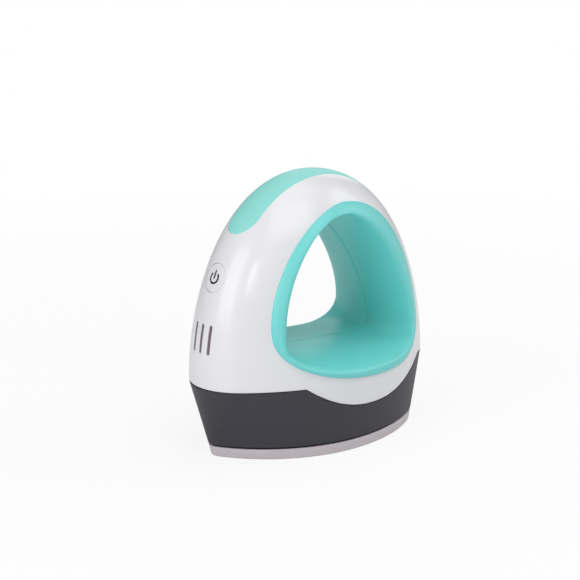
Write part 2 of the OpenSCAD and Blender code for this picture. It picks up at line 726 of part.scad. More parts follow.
module thermistor() color([0.35, 0.5, 0.4]) {
  translate([sensor_x, 0, clamp_z]) tube(sensor_post_d, screw_d + screw_fit, lug_t);
  translate([sensor_x + sensor_post_d / 2 - bite, 0, clamp_z + bead_d / 2]) rotate([0, 90, 0])
    cylinder(d = bead_d, h = bead_end - sensor_x - sensor_post_d / 2 + bite);
}

module thermistor_screw() color([0.6, 0.6, 0.62])
  translate([sensor_x, 0, clamp_z + lug_t]) screw(screw_d, post_grip + lug_t, head_d - 0.6, blanket_t);

module thermal_fuse() color([0.8, 0.78, 0.7])
  translate([fuse_x, 0, plate_t + fuse_d / 2]) rotate([90, 0, 0]) {
    cylinder(d = fuse_d, h = fuse_len, center = true);
    cylinder(d = wire_d, h = fuse_len + 2 * wire_len, center = true);
  }

module fuse_clip() color([0.7, 0.71, 0.73]) {
  reach = fuse_d / 2 + slack / 2;
  foot = [fuse_x - reach - clip_t / 2, fuse_screw_at[0] - clip_foot];
  difference() {
    translate([0, clip_w / 2, 0]) rotate([90, 0, 0]) linear_extrude(clip_w) union() {
      difference() {
        translate([fuse_x, plate_t + fuse_d / 2]) circle(reach + clip_t);
        translate([fuse_x, plate_t + fuse_d / 2]) circle(reach);
        translate([fuse_x - 10, plate_t - 10 + fuse_d / 2]) square([20, 10]);
      }
      for (x = [fuse_x - reach - clip_t, fuse_x + reach])
        translate([x, plate_t]) square([clip_t, fuse_d / 2 + 0.1]);
      translate([foot[1], plate_t]) square([foot[0] - foot[1], clip_t]);
    }
    rod([fuse_screw_at[0], 0, plate_t - 1], small_d + screw_fit, 4);
  }
}

module fuse_clip_screw() color([0.6, 0.6, 0.62])
  translate([fuse_screw_at[0], 0, plate_t + clip_t])
    screw(small_d, small_grip - 1, small_head_d, small_head_h);

// ---- Base ----

module base_skirt() color([0.25, 0.25, 0.28]) difference() {
  union() {
    difference() {
      band(skirt_z, belt_z + tongue_h, 0, skirt_wall, 4);
      difference() {
        past_parting(-parting_gap / 2, true);
        slab(skirt_z - 1, belt_z + tongue_h + 1, tongue_inset, 4);
      }
      past_parting(tongue_h, true);
    }
    translate([0, 0, deck_z]) linear_extrude(deck_t) polygon(ring(deck_z, skirt_wall - bite));
    for (p = board_screws) rod([p[0], p[1], deck_top - bite], standoff_d, standoff_h + bite);
  }
  for (p = concat(pillars, bosses)) rod([p[0], p[1], deck_z - 1], screw_d + screw_fit, deck_t + 2);
  for (p = board_screws) rod([p[0], p[1], deck_z + 1], small_d, standoff_h + deck_t);
  for (y = [-1, 1]) rod([lead_x, y * element_r, deck_z - 1], lead_d + 1.6, deck_t + 2);
  rod([lead_x, -element_r / 2, deck_z - 1], lead_d + 1.6, deck_t + 2);
  rod([sensor_lead_x, 0, deck_z - 1], sensor_lead_d + 1, deck_t + 2);
}

module base_screws() color([0.6, 0.6, 0.62])
  for (p = pillars) translate([p[0], p[1], deck_top])
    screw(screw_d, deck_t + washer_t + grip_len, head_d, head_h);

module shell_screws() color([0.6, 0.6, 0.62])
  for (p = bosses) translate([p[0], p[1], deck_z]) rotate([180, 0, 0])
    screw(screw_d, deck_t + grip_len, head_d, head_h);

// ---- Shell ----

grip_from = crown_z(grip_half_len) - 6;

module grip_outline(clear) {
  rotate(90) stadium(2 * (grip_half_len + clear), 2 * (grip_half_wid + clear));
}

function bar_places() = [for (i = [0 : bar_n - 1]) (i - (bar_n - 1) / 2) * bar_pitch];

module bar_slots(clear, from_x, to_x) {
  for (y = bar_places())
    translate([from_x, y, bar_z]) rotate([90, 0, 90]) linear_extrude(to_x - from_x)
      stadium(bar_len + 2 * clear, bar_w + 2 * clear);
}

sleeve_r = button_d / 2 + button_fit + sleeve_wall;
sleeve_start = end_x(0, button_z, true) - end_x(sleeve_r, button_z, true) + slack;

module outer_shell() color([0.95, 0.95, 0.96]) difference() {
  union() {
    difference() {
      dome(swoop_z - 1, 0, shell_wall, 0, crown_wall);
      past_parting(parting_gap / 2, false);
      across([for (t = rim_angles()) rim_point(t, hole_at(t))], 4 * belt_half_wid);
      intersection() {
        dome(grip_from, -1, grip_t + grip_fit, -1, grip_t + grip_fit, grip_steps);
        linear_extrude(body_h + 10) grip_outline(grip_fit);
      }
    }
    at_button(sleeve_depth) cylinder(r = sleeve_r, h = sleeve_depth - sleeve_start);
    for (p = panel_screws) let (start = post_start(p))
      at_button(panel_depth) translate([p[0], p[1], 0]) cylinder(d = post_d, h = panel_depth - start);
    for (p = bosses) shell_boss(p);
    gland_boss();
  }
  at_button(sleeve_depth + 1) cylinder(d = button_d + 2 * button_fit, h = sleeve_depth + 4);
  for (p = panel_screws) at_button(panel_depth + 1) translate([p[0], p[1], 0])
    cylinder(d = small_d, h = small_grip + 2);
  for (p = bosses) rod([p[0], p[1], deck_top - 1], screw_d, grip_len + 2);
  bar_slots(bar_fit, -belt_half_len - 5, -end_x(bar_pitch, bar_z, true) + shell_wall + 2);
  for (x = [-1, 0, 1]) rod([x * peg_pitch, 0, crown_z(peg_pitch) - 16], peg_d + slack, 40);
  at_gland(-gland_in - 1) cylinder(d = gland_d + 2 * gland_fit, h = gland_in + 10);
  at_gland() cylinder(d = gland_flange_d + 2 * gland_fit, h = 10);
}

// Depth below the button's face at which a post starts, inside the shell's wall
function post_start(p) = let (z = button_z + p[0] * cos(button_tilt))
  (end_x(0, button_z, true) - end_x(p[1], z, true) - p[0] * sin(button_tilt)) / cos(button_tilt)
    + shell_wall / 2;

// A screw boss on the deck, tied to the end wall by a web above the tongue
module shell_boss(p) {
  web_z = belt_z + tongue_h + 1;
  nose = p[0] < 0;
  wall_x = end_x(abs(p[1]), web_z, nose) - shell_wall / 2 - bite;
  rod([p[0], p[1], deck_top], boss_d, boss_h);
  translate([nose ? -wall_x : p[0], p[1] - 1, web_z])
    cube([wall_x - abs(p[0]), 2, deck_top + boss_h - web_z]);
}

// Where the gland's flange seats, in a flat spot face on the tail
gland_x = end_x(gland_flange_d / 2, inlet_z + gland_flange_d / 4, false) - gland_fit;

module at_gland(out = 0) {
  translate([gland_x + out, 0, inlet_z]) rotate([0, 90, 0]) children();
}

module gland_boss() at_gland(-gland_in) cylinder(d = gland_flange_d + 1, h = gland_in - 1);

module cord_gland() color([0.3, 0.3, 0.33]) difference() {
  union() {
    at_gland(-gland_in) cylinder(d = gland_d, h = gland_in + bite);
    at_gland() cylinder(d = gland_flange_d, h = gland_flange_t);
  }
  at_gland(-gland_in - 1) cylinder(d = inlet_bore, h = gland_in + gland_flange_t + 2);
}

module grip_strip() color([0.5, 0.84, 0.81]) union() {
  intersection() {
    dome(grip_from, 0, grip_t, 0, grip_t, grip_steps);
    linear_extrude(body_h + 10) grip_outline(0);
  }
  for (x = [-1, 0, 1]) let (top = crown_z(x * peg_pitch) - grip_t / 2 - abs(x) * peg_d / 2)
    rod([x * peg_pitch, 0, top - grip_t - peg_len], peg_d, grip_t + peg_len);
}

// ---- Liner ----

module liner_front() color([0.42, 0.76, 0.74])
  skin([for (t = rim_angles()) liner_ring(t, -1, false)], closed = true);

module liner_rear() color([0.42, 0.76, 0.74])
  skin([for (t = rim_angles()) backwards(liner_ring(t, 1, true))], closed = true);

// ---- Power button ----

flange_depth = sleeve_depth + slack;
stem_end = panel_depth - switch_h - plunger_h;

module mark_shape() {
  line = mark_line / 2;
  difference() {
    circle(d = mark_d);
    circle(d = mark_d - 2 * mark_line);
    translate([0, -2.6 * line]) square([mark_d, 5.2 * line]);
  }
  rotate(-90) translate([0, mark_d / 4 + line]) stadium(mark_d / 2 + mark_line, mark_line);
}

module button_face(inset) {
  slab(button_z - button_d, button_z + button_d, inset, 8);
}

module power_button() color([0.94, 0.94, 0.95]) {
  at_button(flange_depth + flange_t) cylinder(d = button_d + 2 * button_fit + sleeve_wall, h = flange_t);
  at_button(stem_end) cylinder(d = 4, h = stem_end - flange_depth);
  difference() {
    intersection() {
      at_button(flange_depth + flange_t) cylinder(d = button_d, h = flange_depth + 4);
      button_face(button_sink);
    }
    at_button(mark_depth + button_sink) linear_extrude(4) mark_shape();
  }
}

module power_mark() color([0.1, 0.1, 0.11]) intersection() {
  at_button(mark_depth + button_sink) linear_extrude(4) mark_shape();
  button_face(button_sink - 0.05);
}

module switch_plunger() color([0.15, 0.15, 0.16])
  at_button(stem_end + plunger_h + plunger_in) cylinder(d = plunger_d, h = plunger_h + plunger_in - 0.05);

module tact_switch() color([0.2, 0.2, 0.22]) difference() {
  at_button(panel_depth) translate([-switch_side / 2, -switch_side / 2, 0])
    cube([switch_side, switch_side, switch_h]);
  at_button(panel_depth - switch_h + plunger_in + button_travel + 0.2) cylinder(d = plunger_d + 0.3, h = 4);
}

module button_board() color([0.1, 0.38, 0.22]) difference() {
  at_button(panel_depth + board_t) translate([-panel_down, -panel_half_wid, 0])
    cube([panel_down + panel_up, 2 * panel_half_wid, board_t]);
  for (p = panel_screws) at_button(panel_depth + board_t + 1) translate([p[0], p[1], 0])
    cylinder(d = small_d + screw_fit, h = board_t + 2);
}

module button_board_screws() color([0.6, 0.6, 0.62])
  for (p = panel_screws) at_button(panel_depth + board_t) translate([p[0], p[1], 0]) rotate([180, 0, 0])
    screw(small_d, board_t + small_grip, small_head_d, small_head_h);

// Height of the lights along the board, in line with the bars
lights_up = (bar_z - button_z + panel_depth * sin(button_tilt)) / cos(button_tilt);

module status_leds() color([0.95, 0.9, 0.7])
  for (y = bar_places()) at_button(panel_depth) translate([lights_up, y, 0]) {
    translate([-1.6, -1, 0]) cube([3.2, 2, 0.7]);
    translate([0, 0, 0.6]) cylinder(d = 1.8, h = 0.6);
  }

module light_guide() color([0.55, 0.52, 0.5]) {
  half_span = (bar_n - 1) / 2 * bar_pitch + bar_w / 2 + 1;
  face_x = end_x(half_span, bar_z + bar_len / 2, true) - shell_wall - slack;
  board_x = -panel_point(panel_depth, lights_up)[0];
  intersection() {
    bar_slots(0, -belt_half_len - 5, -face_x + bite);
    slab(bar_z - bar_len, bar_z + bar_len, 0.25, 4);
  }
  translate([-face_x, 0, bar_z]) rotate([90, 0, 90])
    rounded_plate([2 * half_span, bar_len - 1], 1, bridge_t);
  for (y = bar_places()) translate([-face_x, y, bar_z]) rotate([0, 90, 0])
    cylinder(d = pipe_d, h = face_x - board_x - 3);
}

// ---- Control board ----

module control_board() color([0.1, 0.38, 0.22]) difference() {
  translate([0, 0, board_z]) rounded_plate([2 * board_half_len, 2 * board_half_wid], 2, board_t);
  for (p = board_screws) rod([p[0], p[1], board_z - 1], small_d + screw_fit, board_t + 2);
  for (p = bosses) rod([p[0], p[1], board_z - 1], boss_d + 2 * boss_gap, board_t + 2);
}

module control_board_screws() color([0.6, 0.6, 0.62])
  for (p = board_screws) translate([p[0], p[1], board_top])
    screw(small_d, board_t + small_grip, small_head_d, small_head_h);

module power_relay() color([0.12, 0.2, 0.45])
  translate([relay_at[0], relay_at[1], board_top]) rounded_plate([relay_len, relay_wid], 0.8, relay_h);

module film_capacitor() color([0.82, 0.68, 0.2])
  translate([film_at[0], film_at[1], board_top]) rounded_plate([film_len, film_wid], 0.8, film_h);

module electrolytic_capacitor() color([0.16, 0.17, 0.2]) difference() {
  rod([can_at[0], can_at[1], board_top], can_d, can_h);
  for (a = [0, 90]) translate([can_at[0], can_at[1], board_top + can_h]) rotate(a)
    cube([0.8 * can_d, 0.4, 0.6], center = true);
}

module controller_chip() color([0.08, 0.08, 0.09]) {
  block([chip_at[0], chip_at[1], board_top + 0.2], [chip_side, chip_side - 2, chip_h]);
  for (i = [0 : chip_legs - 1], y = [-1, 1])
    block([chip_at[0] + (i - (chip_legs - 1) / 2) * (chip_side - 1) / chip_legs,
      chip_at[1] + y * (chip_side / 2 - 0.7), board_top], [0.4, 1.6, 0.5]);
}

module buzzer() color([0.1, 0.1, 0.11]) translate([buzzer_at[0], buzzer_at[1], board_top])
  tube(buzzer_d, 2, buzzer_h);

module terminal_block() color([0.2, 0.45, 0.3]) difference() {
  pitch = block_len / block_poles;
  block([block_at[0], block_at[1], board_top], [block_wid, block_len, block_h]);
  for (i = [0 : block_poles - 1]) translate([block_at[0], (i - (block_poles - 1) / 2) * pitch, board_top]) {
    translate([0, 0, block_h - 3]) cylinder(d = 4, h = 4);
    translate([0, 0, block_entry]) rotate([0, 90, 0]) cylinder(d = lead_d + 0.4, h = block_wid);
  }
}

module plug(at) block([at[0], at[1], board_top], [connector_wid, connector_len, connector_h]);
module panel_connector() color([0.92, 0.9, 0.84]) plug(panel_plug_at);
module sensor_connector() color([0.92, 0.9, 0.84]) plug(sensor_plug_at);

// ---- Leads ----

module element_leads() color([0.75, 0.2, 0.15]) {
  pitch = block_len / block_poles;
  tip = pin_x + pin_len;
  enter = [block_at[0] + lead_in, board_top + block_entry];
  turn_x = enter[0] + lead_turn;
  low = element_z;
  lead([[tip, element_r, low], [lead_x, element_r, low], [lead_x, element_r, enter[1]],
    [turn_x, element_r, enter[1]], [turn_x, pitch, enter[1]], [enter[0], pitch, enter[1]]], lead_d);
  lead([[tip, -element_r, low], [lead_x, -element_r, low]], lead_d);
}

module sensor_lead() color([0.9, 0.9, 0.88]) {
  turn_z = deck_top + 2.4;
  out_x = -board_half_len - 3.5;
  plug_z = board_top + connector_h / 2;
  lead([[sensor_lead_x, 0, clamp_z + 0.2], [sensor_lead_x, 0, turn_z], [out_x, 0, turn_z],
    [out_x, sensor_plug_at[1], turn_z + 3], [out_x, sensor_plug_at[1], plug_z],
    [sensor_plug_at[0] - connector_wid / 2, sensor_plug_at[1], plug_z]], sensor_lead_d);
}

// A flat strip that follows points in the XZ plane
function strip_side(path, t) = [for (i = [0 : len(path) - 1]) let (
    a = path[max(0, i - 1)], b = path[min(len(path) - 1, i + 1)], d = b - a)
  path[i] + t / norm(d) * [-d[1], d[0]]];

module panel_ribbon() color([0.82, 0.82, 0.84]) {
  x0 = panel_plug_at[0] - connector_wid / 2;
  z0 = board_top + connector_h / 2;
  level = panel_depth + board_t + ribbon_t / 2;
  low = panel_edge - panel_down;
  path = [[x0, z0], [x0 - 2 * ribbon_t, z0], [x0 - 6 * ribbon_t, z0 + 4 * ribbon_t],
    [x0 - ribbon_w, z0 + 1.5 * ribbon_w], panel_point(level, low), panel_point(level, low + ribbon_end)];
  translate([0, panel_plug_at[1], 0])
    across(concat(strip_side(path, ribbon_t / 2), backwards(strip_side(path, -ribbon_t / 2))), ribbon_w);
}

// ---- Output ----

heat_plate();
heating_element();
element_terminals();
element_clamp();
clamp_screws();
insulation_blanket();
heat_shield();
spacer_washers();
plate_seal();
base_skirt();
base_screws();
thermistor();
thermistor_screw();
thermal_fuse();
fuse_clip();
fuse_clip_screw();
outer_shell();
shell_screws();
liner_front();
liner_rear();
grip_strip();
power_button();
power_mark();
switch_plunger();
tact_switch();
button_board();
button_board_screws();
status_leds();
light_guide();
control_board();
control_board_screws();
power_relay();
film_capacitor();
electrolytic_capacitor();
controller_chip();
buzzer();
terminal_block();
panel_connector();
sensor_connector();
element_leads();
sensor_lead();
panel_ribbon();
cord_gland();
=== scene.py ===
import json
import math

import bmesh
import bpy
from mathutils import Matrix, Vector


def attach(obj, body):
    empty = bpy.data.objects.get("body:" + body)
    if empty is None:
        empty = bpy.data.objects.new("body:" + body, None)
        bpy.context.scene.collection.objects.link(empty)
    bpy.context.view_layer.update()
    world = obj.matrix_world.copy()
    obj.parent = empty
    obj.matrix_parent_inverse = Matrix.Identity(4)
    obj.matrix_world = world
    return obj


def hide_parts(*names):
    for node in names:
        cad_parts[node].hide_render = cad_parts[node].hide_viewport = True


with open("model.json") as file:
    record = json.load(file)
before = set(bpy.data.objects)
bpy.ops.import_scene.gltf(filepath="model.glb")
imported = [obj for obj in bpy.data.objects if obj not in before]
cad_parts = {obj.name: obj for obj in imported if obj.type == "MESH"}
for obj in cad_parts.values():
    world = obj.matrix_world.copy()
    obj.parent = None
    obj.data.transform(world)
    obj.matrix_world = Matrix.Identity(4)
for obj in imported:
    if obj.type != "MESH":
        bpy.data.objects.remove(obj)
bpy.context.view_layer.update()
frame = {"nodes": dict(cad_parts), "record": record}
print("frame loaded:", len(frame["nodes"]), "nodes")

# Sizes below are in millimetres; a finished mesh is brought to metres at the end
toMetres = 0.001
mergeWithin = 0.002
smallest = 1e-6
# A height that hangs on x, and x on the height, is found in this many rounds
settleRounds = 4


# Camera

view = {
    "target": (0, 0, 60),
    "azimuth": -39.6,
    "elevation": 14.61,
    "distance": 697.8,
    "lens": 99.05,
    "shiftX": -0.0315,
    "shiftY": 0.0171,
    "near": 10,
    "far": 50000,
}


def makeCamera():
    turn, tilt = math.radians(view["azimuth"]), math.radians(view["elevation"])
    back = Vector((math.sin(turn) * math.cos(tilt), -math.cos(turn) * math.cos(tilt), math.sin(tilt)))
    data = bpy.data.cameras.new("camera")
    data.lens = view["lens"]
    data.shift_x, data.shift_y = view["shiftX"], view["shiftY"]
    data.clip_start, data.clip_end = view["near"] * toMetres, view["far"] * toMetres
    camera = bpy.data.objects.new("camera", data)
    bpy.context.scene.collection.objects.link(camera)
    camera.location = (Vector(view["target"]) + back * view["distance"]) * toMetres
    camera.rotation_euler = (-back).to_track_quat("-Z", "Y").to_euler()
    bpy.context.scene.camera = camera


makeCamera()


# Form of the body

body = {
    "height": 118.18,
    "beltHeight": 31.7,
    "beltHalfLength": 59.4,
    "beltHalfWidth": 35.7,
    "soleHalfLength": 52.4,
    "soleHalfWidth": 32,
    "archPower": 2.05,
    "flankTaper": 0.42,
    "flankPower": 1.6,
    "crownPower": 9,
    "round": 1.05,
    "soleNoseRound": 0.2,
    "soleTailRound": 1.2,
    "tipLimit": 0.95,
    "insetLimit": 0.7,
}

# The line where shell and base meet: its lowest height, where that is, and how it swoops up
parting = {"low": 19.8, "middle": 9.5, "halfLength": 36, "power": 2.2, "gap": 0.22, "fade": 3}


def mix(a, b, t):
    return a + (b - a) * t


def rise(z):
    return min(1, max(0, (z - body["beltHeight"]) / (body["height"] - body["beltHeight"])))


def halfLength(z):
    if z < body["beltHeight"]:
        return mix(body["soleHalfLength"], body["beltHalfLength"], z / body["beltHeight"])
    power = body["archPower"]
    return body["beltHalfLength"] * max(0, 1 - rise(z) ** power) ** (1 / power)


def halfWidth(z):
    if z < body["beltHeight"]:
        return mix(body["soleHalfWidth"], body["beltHalfWidth"], z / body["beltHeight"])
    lean = 1 - body["flankTaper"] * rise(z) ** body["flankPower"]
    return body["beltHalfWidth"] * lean * math.sqrt(max(0, 1 - rise(z) ** body["crownPower"]))


# Each level is an oval of two arcs: its half sizes, tip radius, flank radius and the angle where
# the arcs join
def arcs(z, nose):
    a, b = max(halfLength(z), smallest), max(halfWidth(z), smallest)
    sole = body["soleNoseRound"] if nose else body["soleTailRound"]
    roundness = mix(sole, body["round"], min(1, z / body["beltHeight"]))
    tip = min(roundness * b * b / a, body["tipLimit"] * a, body["tipLimit"] * b)
    flank = ((a - tip) ** 2 + b * b - tip * tip) / (2 * (b - tip))
    return a, b, tip, flank, math.atan2(flank - b, a - tip)


# A point of the oval at a height; turn runs from 0 to 1 round the body, from the tail's tip
def ovalPoint(z, turn, inset=0):
    quarter = int(turn * 4) % 4
    share = turn * 4 - int(turn * 4)
    share = 1 - share if quarter in (1, 3) else share
    a, b, tip, flank, join = arcs(z, quarter in (1, 2))
    inset = min(inset, body["insetLimit"] * tip)
    tipRun, flankRun = tip * join, flank * (math.pi / 2 - join)
    along = share * (tipRun + flankRun)
    if along < tipRun:
        angle = along / tip
        x, y = a - tip + (tip - inset) * math.cos(angle), (tip - inset) * math.sin(angle)
    else:
        angle = join + (along - tipRun) / flank
        x, y = (flank - inset) * math.cos(angle), b - flank + (flank - inset) * math.sin(angle)
    return (-x if quarter in (1, 2) else x), (-y if quarter in (2, 3) else y)


# Half the body's width at a place along it and a height
def sideY(x, z):
    a, b, tip, flank, join = arcs(z, x < 0)
    if abs(x) <= a - tip + tip * math.cos(join):
        return b - flank + math.sqrt(max(0, flank * flank - x * x))
    return math.sqrt(max(0, tip * tip - (abs(x) - a + tip) ** 2))


def inBody(point):
    x, y, z = point
    return z < body["height"] and abs(x) < halfLength(z) and abs(y) < sideY(x, z)


# How far the body reaches along X at a distance from the middle and a height
def ovalReach(y, z, nose):
    a, b, tip, flank, join = arcs(z, nose)
    if abs(y) < tip * math.sin(join):
        return a - tip + math.sqrt(tip * tip - y * y)
    return math.sqrt(flank * flank - (abs(y) - b + flank) ** 2)


def crownHeight(x):
    power = body["archPower"]
    share = max(0, 1 - (abs(x) / body["beltHalfLength"]) ** power) ** (1 / power)
    return mix(body["beltHeight"], body["height"], share)


# How far along a direction the body's surface lies from a point inside it
def reachSurface(start, direction, most, halvings=26):
    low, high = 0.0, most
    for _ in range(halvings):
        middle = (low + high) / 2
        if inBody(start + direction * middle):
            low = middle
        else:
            high = middle
    return low


def partingHeight(x):
    share = min(1, abs(x - parting["middle"]) / parting["halfLength"])
    return mix(parting["low"], body["beltHeight"], share ** parting["power"])


# Heights along one line round the body: step is 0 at the parting line and 1 at the crown
def shellHeight(step, x):
    height = mix(body["beltHeight"], body["height"], math.sin(step * math.pi / 2))
    return height + (partingHeight(x) - body["beltHeight"]) * (1 - step) ** parting["fade"]


# Meshes

def newObject(name, mesh):
    piece = bpy.data.objects.new(name, mesh)
    bpy.context.scene.collection.objects.link(piece)
    return piece


def sharpen(bm, angle=35):
    for face in bm.faces:
        face.smooth = True
    limit = math.radians(angle)
    for edge in bm.edges:
        edge.smooth = len(edge.link_faces) == 2 and edge.calc_face_angle(0) < limit


def finishMesh(bm, name, angle=35):
    bmesh.ops.remove_doubles(bm, verts=bm.verts, dist=mergeWithin)
    bmesh.ops.dissolve_degenerate(bm, edges=bm.edges, dist=mergeWithin / 4)
    bmesh.ops.recalc_face_normals(bm, faces=bm.faces)
    sharpen(bm, angle)
    bmesh.ops.scale(bm, verts=bm.verts, vec=(toMetres,) * 3)
    mesh = bpy.data.meshes.new(name)
    bm.to_mesh(mesh)
    bm.free()
    return newObject(name, mesh)


# A grid whose points are moved onto a surface by a share round it and a row along it; its seams and
# poles are merged afterwards
def wrapGrid(bm, around, along, place):
    made = bmesh.ops.create_grid(bm, x_segments=around, y_segments=along, size=0.5)
    for vert in made["verts"]:
        u = round((vert.co.x + 0.5) * around)
        v = round((vert.co.y + 0.5) * along)
        vert.co = place(u / around, v)


def addCylinder(bm, foot, direction, radius, length, sides=96):
    turned = Vector((0, 0, 1)).rotation_difference(Vector(direction)).to_matrix().to_4x4()
    middle = Vector(foot) + Vector(direction).normalized() * length / 2
    bmesh.ops.create_cone(bm, cap_ends=True, segments=sides, radius1=radius, radius2=radius, depth=length,
                          matrix=Matrix.Translation(middle) @ turned)


# A closed prism over an outline, from one end to the other along a direction
def addPrism(bm, outline, shift):
    verts = [bm.verts.new(point) for point in outline]
    face = bm.faces.new(verts)
    grown = bmesh.ops.extrude_face_region(bm, geom=[face])["geom"]
    bmesh.ops.translate(bm, verts=[g for g in grown if isinstance(g, bmesh.types.BMVert)], vec=shift)


# A profile of (radius, height) points spun round an axis of length 1
def spinProfile(bm, foot, axis, profile, steps=72, closed=True):
    foot, axis = Vector(foot), Vector(axis)
    side = axis.orthogonal().normalized()
    verts = [bm.verts.new(foot + side * radius + axis * height) for radius, height in profile]
    edges = [bm.edges.new((verts[i - 1], verts[i])) for i in range(0 if closed else 1, len(verts))]
    bmesh.ops.spin(bm, geom=verts + edges, cent=foot, axis=axis, dvec=(0, 0, 0), angle=2 * math.pi,
                   steps=steps, use_merge=True)


# A post bored from its foot, open at that end alone
def addPost(bm, foot, axis, radius, length, bore, deep):
    profile = [(0, deep), (bore, deep), (bore, 0), (radius, 0), (radius, length), (0, length)]
    spinProfile(bm, foot, axis, profile, steps=32, closed=False)


def addTube(bm, foot, axis, radius, length, bore):
    profile = [(bore, 0), (radius, 0), (radius, length), (bore, length)]
    spinProfile(bm, foot, axis, profile, steps=64)


# Adds inner forms to a piece that is already cut
def addInside(piece, forms):
    extra = finishMesh(forms, "inside")
    bm = bmesh.new()
    bm.from_mesh(piece.data)
    bm.from_mesh(extra.data)
    bm.to_mesh(piece.data)
    bm.free()
    bpy.data.objects.remove(extra)


def cutWith(piece, cutters):
    for cutter in cutters:
        change = piece.modifiers.new("cut", "BOOLEAN")
        change.operation, change.solver, change.object = "DIFFERENCE", "EXACT", cutter
    bpy.context.view_layer.update()
    done = bpy.data.meshes.new_from_object(piece.evaluated_get(bpy.context.evaluated_depsgraph_get()))
    piece.modifiers.clear()
    piece.data = done
    for cutter in cutters:
        bpy.data.objects.remove(cutter)
    bm = bmesh.new()
    bm.from_mesh(done)
    bmesh.ops.remove_doubles(bm, verts=bm.verts, dist=mergeWithin * toMetres)
    sharpen(bm)
    bm.to_mesh(done)
    bm.free()


# A quarter round as (inset, drop) steps, from the side to the face
def rounded(radius, steps=5):
    turns = [math.pi / 2 * i / steps for i in range(steps + 1)]
    return [(radius * (1 - math.sin(t)), radius * (1 - math.cos(t))) for t in turns]


# Tunnel

tunnel = {
    # level is the height where it is widest
    "rim": {
        "tail": 45, "top": 106.5, "nose": -39, "bottom": 32.6, "level": 56, "topX": 2.5, "bottomX": 17,
    },
    "waist": {
        "tail": 34.7, "top": 99.8, "nose": -26, "bottom": 42.1, "level": 46.5, "topX": -1, "bottomX": 20,
    },
    # top tail, top nose, bottom nose, bottom tail
    "rimPower": (2, 1.75, 2.3, 2.5),
    "waistPower": (1.52, 2.2, 1.8, 3.6),
    # tail, top, nose, bottom; skew widens the lip at the bottom's nose side and narrows its tail side
    "crest": (0.38, 0.38, 0.74, 0.62),
    "skew": 0.3,
    "softness": 1.12,
    "bendFrom": 0.018,
    "proud": 2,
    "lift": 0.03,
    "wall": 2,
    "cover": 1.9,
    "edgeMargin": 0.02,
    "skirt": 3,
    "seam": 0.08,
    "seamRound": 0.3,
    "around": 224,
    "sectionSteps": 26,
    "rollSteps": 8,
    "backSteps": 5,
}


def arcPower(value, power):
    return math.copysign(abs(value) ** (2 / power), value)


# A point of an outline in four quarters, each with its own reach and power
def egg(angle, size, powers):
    c, s = math.cos(angle), math.sin(angle)
    up, tail = s >= 0, c >= 0
    power = powers[(0 if tail else 1) if up else (3 if tail else 2)]
    middle, level = size["topX" if up else "bottomX"], size["level"]
    reachX = size["tail"] - middle if tail else middle - size["nose"]
    reachZ = size["top"] - level if up else level - size["bottom"]
    return Vector((middle + reachX * arcPower(c, power), level + reachZ * arcPower(s, power)))


# A point of the tunnel's side: share 0 is the waist and 1 the lip's outer edge
def rimPoint(angle, share):
    waist = egg(angle, tunnel["waist"], tunnel["waistPower"])
    return waist.lerp(egg(angle, tunnel["rim"], tunnel["rimPower"]), share)


def rimDepth(angle):
    return (rimPoint(angle, 1) - rimPoint(angle, 0)).length


def flankAt(angle, share):
    return sideY(*rimPoint(angle, share))


# Where the lip's crest lies between waist and rim
def crestAt(angle):
    c, s = math.cos(angle), math.sin(angle)
    crest = tunnel["crest"]
    skew = tunnel["skew"] * c * min(0, s)
    return c * c * crest[0 if c >= 0 else 2] + s * s * crest[1 if s >= 0 else 3] + skew


# A liner half's section as (share, y): from the seam along the waist to the lip's crest, rolled over
# onto the flank, down behind it and back to the seam
def linerSection(angle):
    lip, depth = crestAt(angle), rimDepth(angle)
    crest = flankAt(angle, lip) + tunnel["proud"]
    wall, nick = tunnel["wall"] / depth, tunnel["seamRound"] / depth
    edge = 1 - tunnel["cover"] / depth - tunnel["edgeMargin"]
    points = [(nick, tunnel["seam"])]
    steps = tunnel["sectionSteps"]
    for i in range(steps + 1):
        bend = math.pi / 2 * mix(tunnel["bendFrom"], 1, i / steps)
        inward, outward = (v ** tunnel["softness"] for v in (math.cos(bend), math.sin(bend)))
        points.append((lip * (1 - inward), mix(tunnel["seam"] / 2, crest, outward)))
    for i in range(1, tunnel["rollSteps"] + 1):
        bend = math.pi / 2 * i / tunnel["rollSteps"]
        share = mix(lip, 1, math.sin(bend))
        lift = tunnel["lift"] * math.sin(bend) + tunnel["proud"] * math.cos(bend)
        points.append((share, flankAt(angle, share) + lift))
    for share in (mix(edge, 1, 0.5), edge):
        points.append((share, flankAt(angle, share) + tunnel["lift"]))
    points.append((edge, flankAt(angle, edge) - tunnel["skirt"]))
    for i in range(tunnel["backSteps"], 0, -1):
        bend = math.pi / 4 * i / tunnel["backSteps"]
        points.append((lip * (1 - math.cos(bend)) + wall, crest * math.sin(bend)))
    points.append((wall, tunnel["seam"]))
    return points


def makeLiner(name, side):
    around = tunnel["around"]
    sections = []
    for i in range(around):
        angle = 2 * math.pi * i / around
        sections.append([(*rimPoint(angle, share), y) for share, y in linerSection(angle)])
    count = len(sections[0])

    def place(u, v):
        x, z, y = sections[round(u * around) % around][v % count]
        return x, side * y, z

    bm = bmesh.new()
    wrapGrid(bm, around, count, place)
    return finishMesh(bm, name, angle=50)


# Shell

shell = {
    "wall": 2.4,
    "crownWall": 4.2,
    "around": 288,
    "rows": 96,
    "innerRows": 24,
    "lowerEdge": 0.7,
    "stripGap": 0.06,
    "inletHeight": 46,
    "inletSeat": 56.82,
    "inletInside": 8,
    "inletFlange": 14.8,
    "inletHole": 11.4,
}


